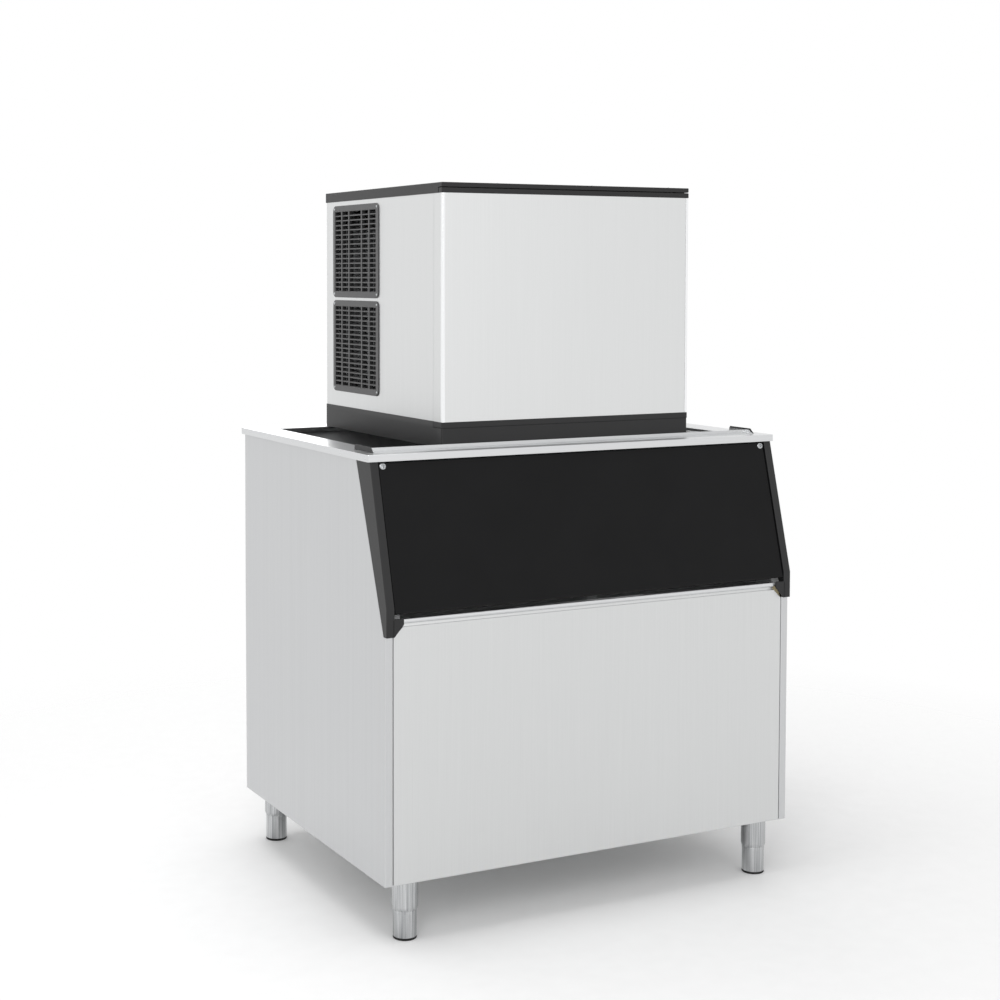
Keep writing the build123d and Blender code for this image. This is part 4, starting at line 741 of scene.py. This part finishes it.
def casing_side(side):
    bm = bmesh.new()
    y0, y1 = COVER_D + 1, SKIN_REAR
    ys, zs = [y0, y1], [BASE_H, SKIN_TOP]
    holes = []
    if side == "left":
        ys += [GRILLE_Y0 + GRILLE_IN, GRILLE_Y1 - GRILLE_IN]
        for z0, z1 in GRILLES:
            zs += [z0 + GRILLE_IN, z1 - GRILLE_IN]
            holes.append((z0 + GRILLE_IN, z1 - GRILLE_IN))
    ys.sort()
    zs.sort()
    grid = {(y, z): bm.verts.new((SKIN_X, y, z)) for y in ys for z in zs}
    for ya, yb in zip(ys, ys[1:]):
        for za, zb in zip(zs, zs[1:]):
            if side == "left" and abs(ya - GRILLE_Y0 - GRILLE_IN) < 1 and (za, zb) in holes:
                continue
            bm.faces.new((grid[ya, za], grid[yb, za], grid[yb, zb], grid[ya, zb]))
    rear = edges_at(bm, lambda c: c.y > y1 - 0.01)
    out = bmesh.ops.extrude_edge_only(bm, edges=rear)["geom"]
    bmesh.ops.translate(bm, verts=[g for g in out if isinstance(g, bmesh.types.BMVert)], vec=(-REAR_FLANGE, 0, 0))
    soften(bm, rear, 2.0, 4)
    if side == "left":
        mirror_x(bm)
    return piece("head_casing_sheet_" + side, bm, STEEL_HEAD, ["head_side_" + side],
                 shift=HEAD, thick=SHEET, inside=(0, 360, 350))


for side in ("left", "right"):
    casing_side(side)

# %% [markdown]
# ### Front cover
# The cover is a folded sheet held between two black end caps. Bright strips run up its
# corners. It lifts off to reach the works, so a fine joint is left between it and the sides.

# %% Front cover
skin_lo, skin_hi = box("front_cover_skin")
COVER_Z0 = skin_lo.z / MM - HEAD_Z
COVER_Z1 = skin_hi.z / MM - HEAD_Z

bm = bmesh.new()
plan = [(-SKIN_X, COVER_D), (-SKIN_X, 0), (SKIN_X, 0), (SKIN_X, COVER_D)]
low = [bm.verts.new((*p, COVER_Z0)) for p in plan]
top = [bm.verts.new((*p, COVER_Z1)) for p in plan]
for i in range(3):
    bm.faces.new((low[i], low[i + 1], top[i + 1], top[i]))
soften(bm, [e for e in bm.edges if len(e.link_faces) == 2], 2.0, 4)
piece("front_cover_sheet", bm, STEEL_HEAD, ["front_cover_skin"], shift=HEAD,
      thick=SHEET, inside=(0, 300, 350))

for side, sign in (("left", -1), ("right", 1)):
    lo, hi = box("cover_edge_strip_" + side)
    bm = bmesh.new()
    x = SKIN_X + 0.8
    outline = [(x - 8, -0.8), (x, -0.8), (x, 8)]
    low = [bm.verts.new((sign * p[0], p[1], COVER_Z0)) for p in outline]
    top = [bm.verts.new((sign * p[0], p[1], COVER_Z1)) for p in outline]
    for i in range(2):
        bm.faces.new((low[i], low[i + 1], top[i + 1], top[i]))
    soften(bm, [e for e in bm.edges if len(e.link_faces) == 2], 2.0, 4)
    piece("cover_corner_strip_" + side, bm, BRIGHT, ["cover_edge_strip_" + side],
          shift=HEAD, thick=0.8, inside=(0, 300, 350))

bm = bmesh.new()
CAP_DEEP, CAP_TALL = 19.0, 13.5
slab(bm, -HX, HX, 0, CAP_DEEP, SKIN_TOP, SKIN_TOP + CAP_TALL)
soften(bm, sharp_edges(bm), 1.6, 3)
piece("cover_cap_top", bm, ABS_LID, ["front_cover_cap_upper"], shift=HEAD)

bm = bmesh.new()
slab(bm, -HX, HX, 0, COVER_D, FASCIA_H, BASE_H)
soften(bm, sharp_edges(bm), 1.8, 3)
piece("cover_cap_foot", bm, ABS, ["front_cover_cap_lower"], shift=HEAD)

# %% [markdown]
# ### Top cover
# A shallow black lid closes the head. Its front is stepped over the cover's upper cap, which
# leaves the fine groove seen below the front edge.

# %% Top cover
bm = bmesh.new()
step_z = SKIN_TOP + CAP_TALL + 1.5
outline = [(0, step_z), (0, HEAD_H), (HEAD_D, HEAD_H), (HEAD_D, SKIN_TOP), (CAP_DEEP + 1.5, SKIN_TOP),
           (CAP_DEEP + 1.5, step_z)]
prism(bm, outline, "x", -HX, HX)
soften(bm, [e for e in sharp_edges(bm) if not all(abs(v.co.y - CAP_DEEP - 1.5) < 0.1 for v in e.verts)], 1.8, 3)
piece("head_lid", bm, ABS_LID, ["head_top_cover"], shift=HEAD)

# %% [markdown]
# ### Air grilles
# Each grille is a moulded frame with rounded corners, five columns and rows of tilted slats.
# The frame is a ring between a rounded outline and a rectangle. The slats fall a little to
# the outside, so drips run off.

# %% Grilles
BORDER = 16.0
ROWS = 17
SHARES = (0.17, 0.17, 0.32, 0.17, 0.17)
RIB = 8.0
PROUD = 3.0


def ring_points(y0, y1, z0, z1, radius, steps=6):
    """A rounded rectangle's points, starting at its lower right corner."""
    points = []
    for cy, cz, start in ((y1 - radius, z0 + radius, -90), (y1 - radius, z1 - radius, 0),
                          (y0 + radius, z1 - radius, 90), (y0 + radius, z0 + radius, 180)):
        for i in range(steps + 1):
            a = math.radians(start + 90 * i / steps)
            points.append((cy + radius * math.cos(a), cz + radius * math.sin(a)))
    return points


def grille(name, node, z0, z1):
    bm = bmesh.new()
    y0, y1 = GRILLE_Y0, GRILLE_Y1
    face_x, seat_x = SKIN_X + PROUD, SKIN_X
    outer = ring_points(y0, y1, z0, z1, 16.0)
    outer_low = ring_points(y0, y1, z0, z1, 16.0)
    shelf = ring_points(y0 + 1, y1 - 1, z0 + 1, z1 - 1, 15.0)
    inner = ring_points(y0 + BORDER, y1 - BORDER, z0 + BORDER, z1 - BORDER, 2.0)
    loops = []
    for points, x in ((outer_low, seat_x), (outer, face_x - 1), (shelf, face_x), (inner, face_x), (inner, seat_x - 8)):
        loops.append([bm.verts.new((x, *p)) for p in points])
    for a, b in zip(loops, loops[1:]):
        for i in range(len(a)):
            j = (i + 1) % len(a)
            bm.faces.new((a[i], a[j], b[j], b[i]))
    ya, yb, za, zb = y0 + BORDER, y1 - BORDER, z0 + BORDER, z1 - BORDER
    clear = yb - ya - RIB * 4
    y = ya
    for share in SHARES[:-1]:
        y += clear * share
        slab(bm, seat_x - 8, face_x - 0.2, y, y + RIB, za - 1, zb + 1)
        y += RIB
    pitch = (zb - za) / ROWS
    for row in range(ROWS + 1):
        z = za + row * pitch
        blade = slab(bm, seat_x - 7, face_x - 0.6, ya - 1, yb + 1, z - 1.6, z + 1.6)
        for v in blade:
            v.co.z -= (v.co.x - face_x) * 0.12
            v.co.z = min(max(v.co.z, za - 2), zb + 2)
    mirror_x(bm)
    return piece(name, bm, ABS_GRILLE_LIT, [node], shift=HEAD)


grille("grille_frame_lower", "grille_lower", *GRILLES[0])
grille("grille_frame_upper", "grille_upper", *GRILLES[1])

# %% [markdown]
# ### Casing screws
# Fourteen small domed screws hold the grilles and the lid. One turned profile is set at each
# hole.

# %% Screws
bm = bmesh.new()
SCREW = [(0, 1.6), (1.6, 1.45), (2.8, 1.0), (3.4, 0.4), (3.5, 0), (3.5, -0.3), (0, -0.3)]
for z0, z1 in GRILLES:
    for y in (GRILLE_Y0 + 10, GRILLE_Y1 - 10):
        for z in (z0 + 10, z1 - 10):
            lathe(bm, SCREW, (-SKIN_X - PROUD, y, z), "-x", 20)
for share in (-0.28, 0.1, 0.42):
    for y in (12.0, HEAD_D - 12.0):
        lathe(bm, SCREW, (share * 2 * HX, y, HEAD_H), "z", 20)
piece("casing_screw_domes", bm, ZINC, ["casing_screws"], shift=HEAD, smooth=50)

# %% [markdown]
# ## Pieces kept from the CAD
# The works inside the casing, the liner and the plates underneath are welded copies of their
# CAD nodes with the right finishes. Their shapes are already those of the real pieces.

# %% Inner pieces
KEPT = {
    "grey_liner": (LINER, ("bin_liner", "bin_drain")),
    "foam_core": (FOAM, ("bin_insulation",)),
    "stainless_satin": (STEEL, ("bin_rear_panel", "bin_base_pan", "head_rear_panel", "partition")),
    "zinc_plate": (ZINC, ("hinge_bracket_left", "hinge_bracket_right", "fan_shroud", "fan_motor", "evaporator_frame",
                          "cable_gland", "water_inlet")),
    "black_enamel": (ENAMEL, ("compressor",)),
    "rubber_black": (RUBBER, ("compressor_grommets",)),
    "fins_aluminium": (FINS, ("condenser",)),
    "copper_line": (COPPER, ("drier_line",)),
    "nickel_grid": (NICKEL, ("evaporator",)),
    "white_plastic": (WHITE, ("control_box", "switch_housing", "switch_lever", "water_distributor",
                              "float_valve", "float_arm", "fan_blade")),
    "clear_plastic": (CLEAR, ("water_curtain",)),
    "black_abs": (ABS, ("water_trough", "water_pump")),
}
for slot, (mat, nodes) in KEPT.items():
    for node in nodes:
        from_cad(node, mat)

# %% [markdown]
# ## Studio
# A pale floor that fades into the white room, a broad lamp high on the left, a weaker one on the
# right and one overhead. The camera stands where the photograph's did, and looks a little down
# through a shifted frame.

# %% Floor and room
bm = bmesh.new()
bmesh.ops.create_circle(bm, cap_ends=True, segments=96, radius=9.0)
mesh = bpy.data.meshes.new("studio_floor")
bm.to_mesh(mesh)
bm.free()
floor = bpy.data.objects.new("studio_floor", mesh)
bpy.context.scene.collection.objects.link(floor)
mat, tree, shader = finish("painted_studio_floor", Roughness=0.9, Specular_IOR_Level=0.1)
fleck = grain(tree, (60.0, 60.0, 60.0), 3.0)
tone = ramp(tree, fleck.outputs["Fac"], [(0.3, "F7F7F7"), (0.7, "F9F9F9")])
tree.links.new(tone.outputs["Color"], shader.inputs["Base Color"])
coords = add(tree, "ShaderNodeTexCoord")
reach = add(tree, "ShaderNodeVectorMath", {0: coords.outputs["Object"]})
reach.operation = "LENGTH"
fade = add(tree, "ShaderNodeMapRange", {"Value": reach.outputs["Value"]}, From_Min=1.1, From_Max=2.8,
           To_Min=0.0, To_Max=1.0)
clear = add(tree, "ShaderNodeBsdfTransparent")
both = add(tree, "ShaderNodeMixShader", {0: fade.outputs["Result"], 1: shader.outputs["BSDF"], 2: clear.outputs["BSDF"]})
tree.links.new(both.outputs["Shader"], tree.nodes["Material Output"].inputs["Surface"])
floor.data.materials.append(mat)
floor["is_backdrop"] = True

world = bpy.data.worlds.new("white_room")
bpy.context.scene.world = world
world.use_nodes = True
tree = world.node_tree
tree.nodes.clear()
path = add(tree, "ShaderNodeLightPath")
seen = add(tree, "ShaderNodeMath", {0: path.outputs["Is Camera Ray"], 1: path.outputs["Is Glossy Ray"]})
seen.operation = "ADD"
seen2 = add(tree, "ShaderNodeMath", {0: seen.outputs["Value"], 1: path.outputs["Is Transmission Ray"]})
seen2.operation = "ADD"
seen2.use_clamp = True
light = add(tree, "ShaderNodeBackground", Color=(1, 1, 1, 1), Strength=0.72)
white = add(tree, "ShaderNodeBackground", Color=(1, 1, 1, 1), Strength=1.0)
pick = add(tree, "ShaderNodeMixShader", {0: seen2.outputs["Value"], 1: light.outputs["Background"],
                                         2: white.outputs["Background"]})
out = add(tree, "ShaderNodeOutputWorld", {"Surface": pick.outputs["Shader"]})


def lamp(name, place, target, size, power):
    data = bpy.data.lights.new(name, "AREA")
    data.shape = "RECTANGLE"
    data.size, data.size_y = size
    data.energy = power
    ob = bpy.data.objects.new(name, data)
    ob.location = place
    ob.rotation_euler = (Vector(target) - Vector(place)).to_track_quat("-Z", "Y").to_euler()
    bpy.context.scene.collection.objects.link(ob)
    return ob


lamp("key_softbox", (-3.2, -4.2, 3.4), (0, 0, 1.0), (2.4, 2.4), 62)
lamp("fill_softbox", (0.8, -5.5, 2.2), (0, 0, 0.9), (2.0, 2.6), 8)
lamp("overhead_softbox", (-0.8, 0.2, 4.6), (0, 0, 0.9), (2.6, 2.6), 60)
lamp("rear_softbox", (1.4, 6.0, 2.0), (0, 0, 1.2), (5.0, 1.6), 60)


# %% Camera
cam_data = bpy.data.cameras.new("camera")
camera = bpy.data.objects.new("camera", cam_data)
bpy.context.scene.collection.objects.link(camera)
camera.location = (-2.422, -4.238, 1.655)
camera.rotation_euler = (math.radians(87.0), 0, -math.radians(26.47))
cam_data.sensor_width = 36.0
cam_data.lens = 62.35
cam_data.shift_x = 0.0896
cam_data.shift_y = -0.1349
bpy.context.scene.camera = camera

scene = bpy.context.scene
scene.view_settings.view_transform = "Standard"

# %% Boxes and finish
import json

lo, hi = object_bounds()
print("looks box", [round(v, 4) for v in lo], [round(v, 4) for v in hi])
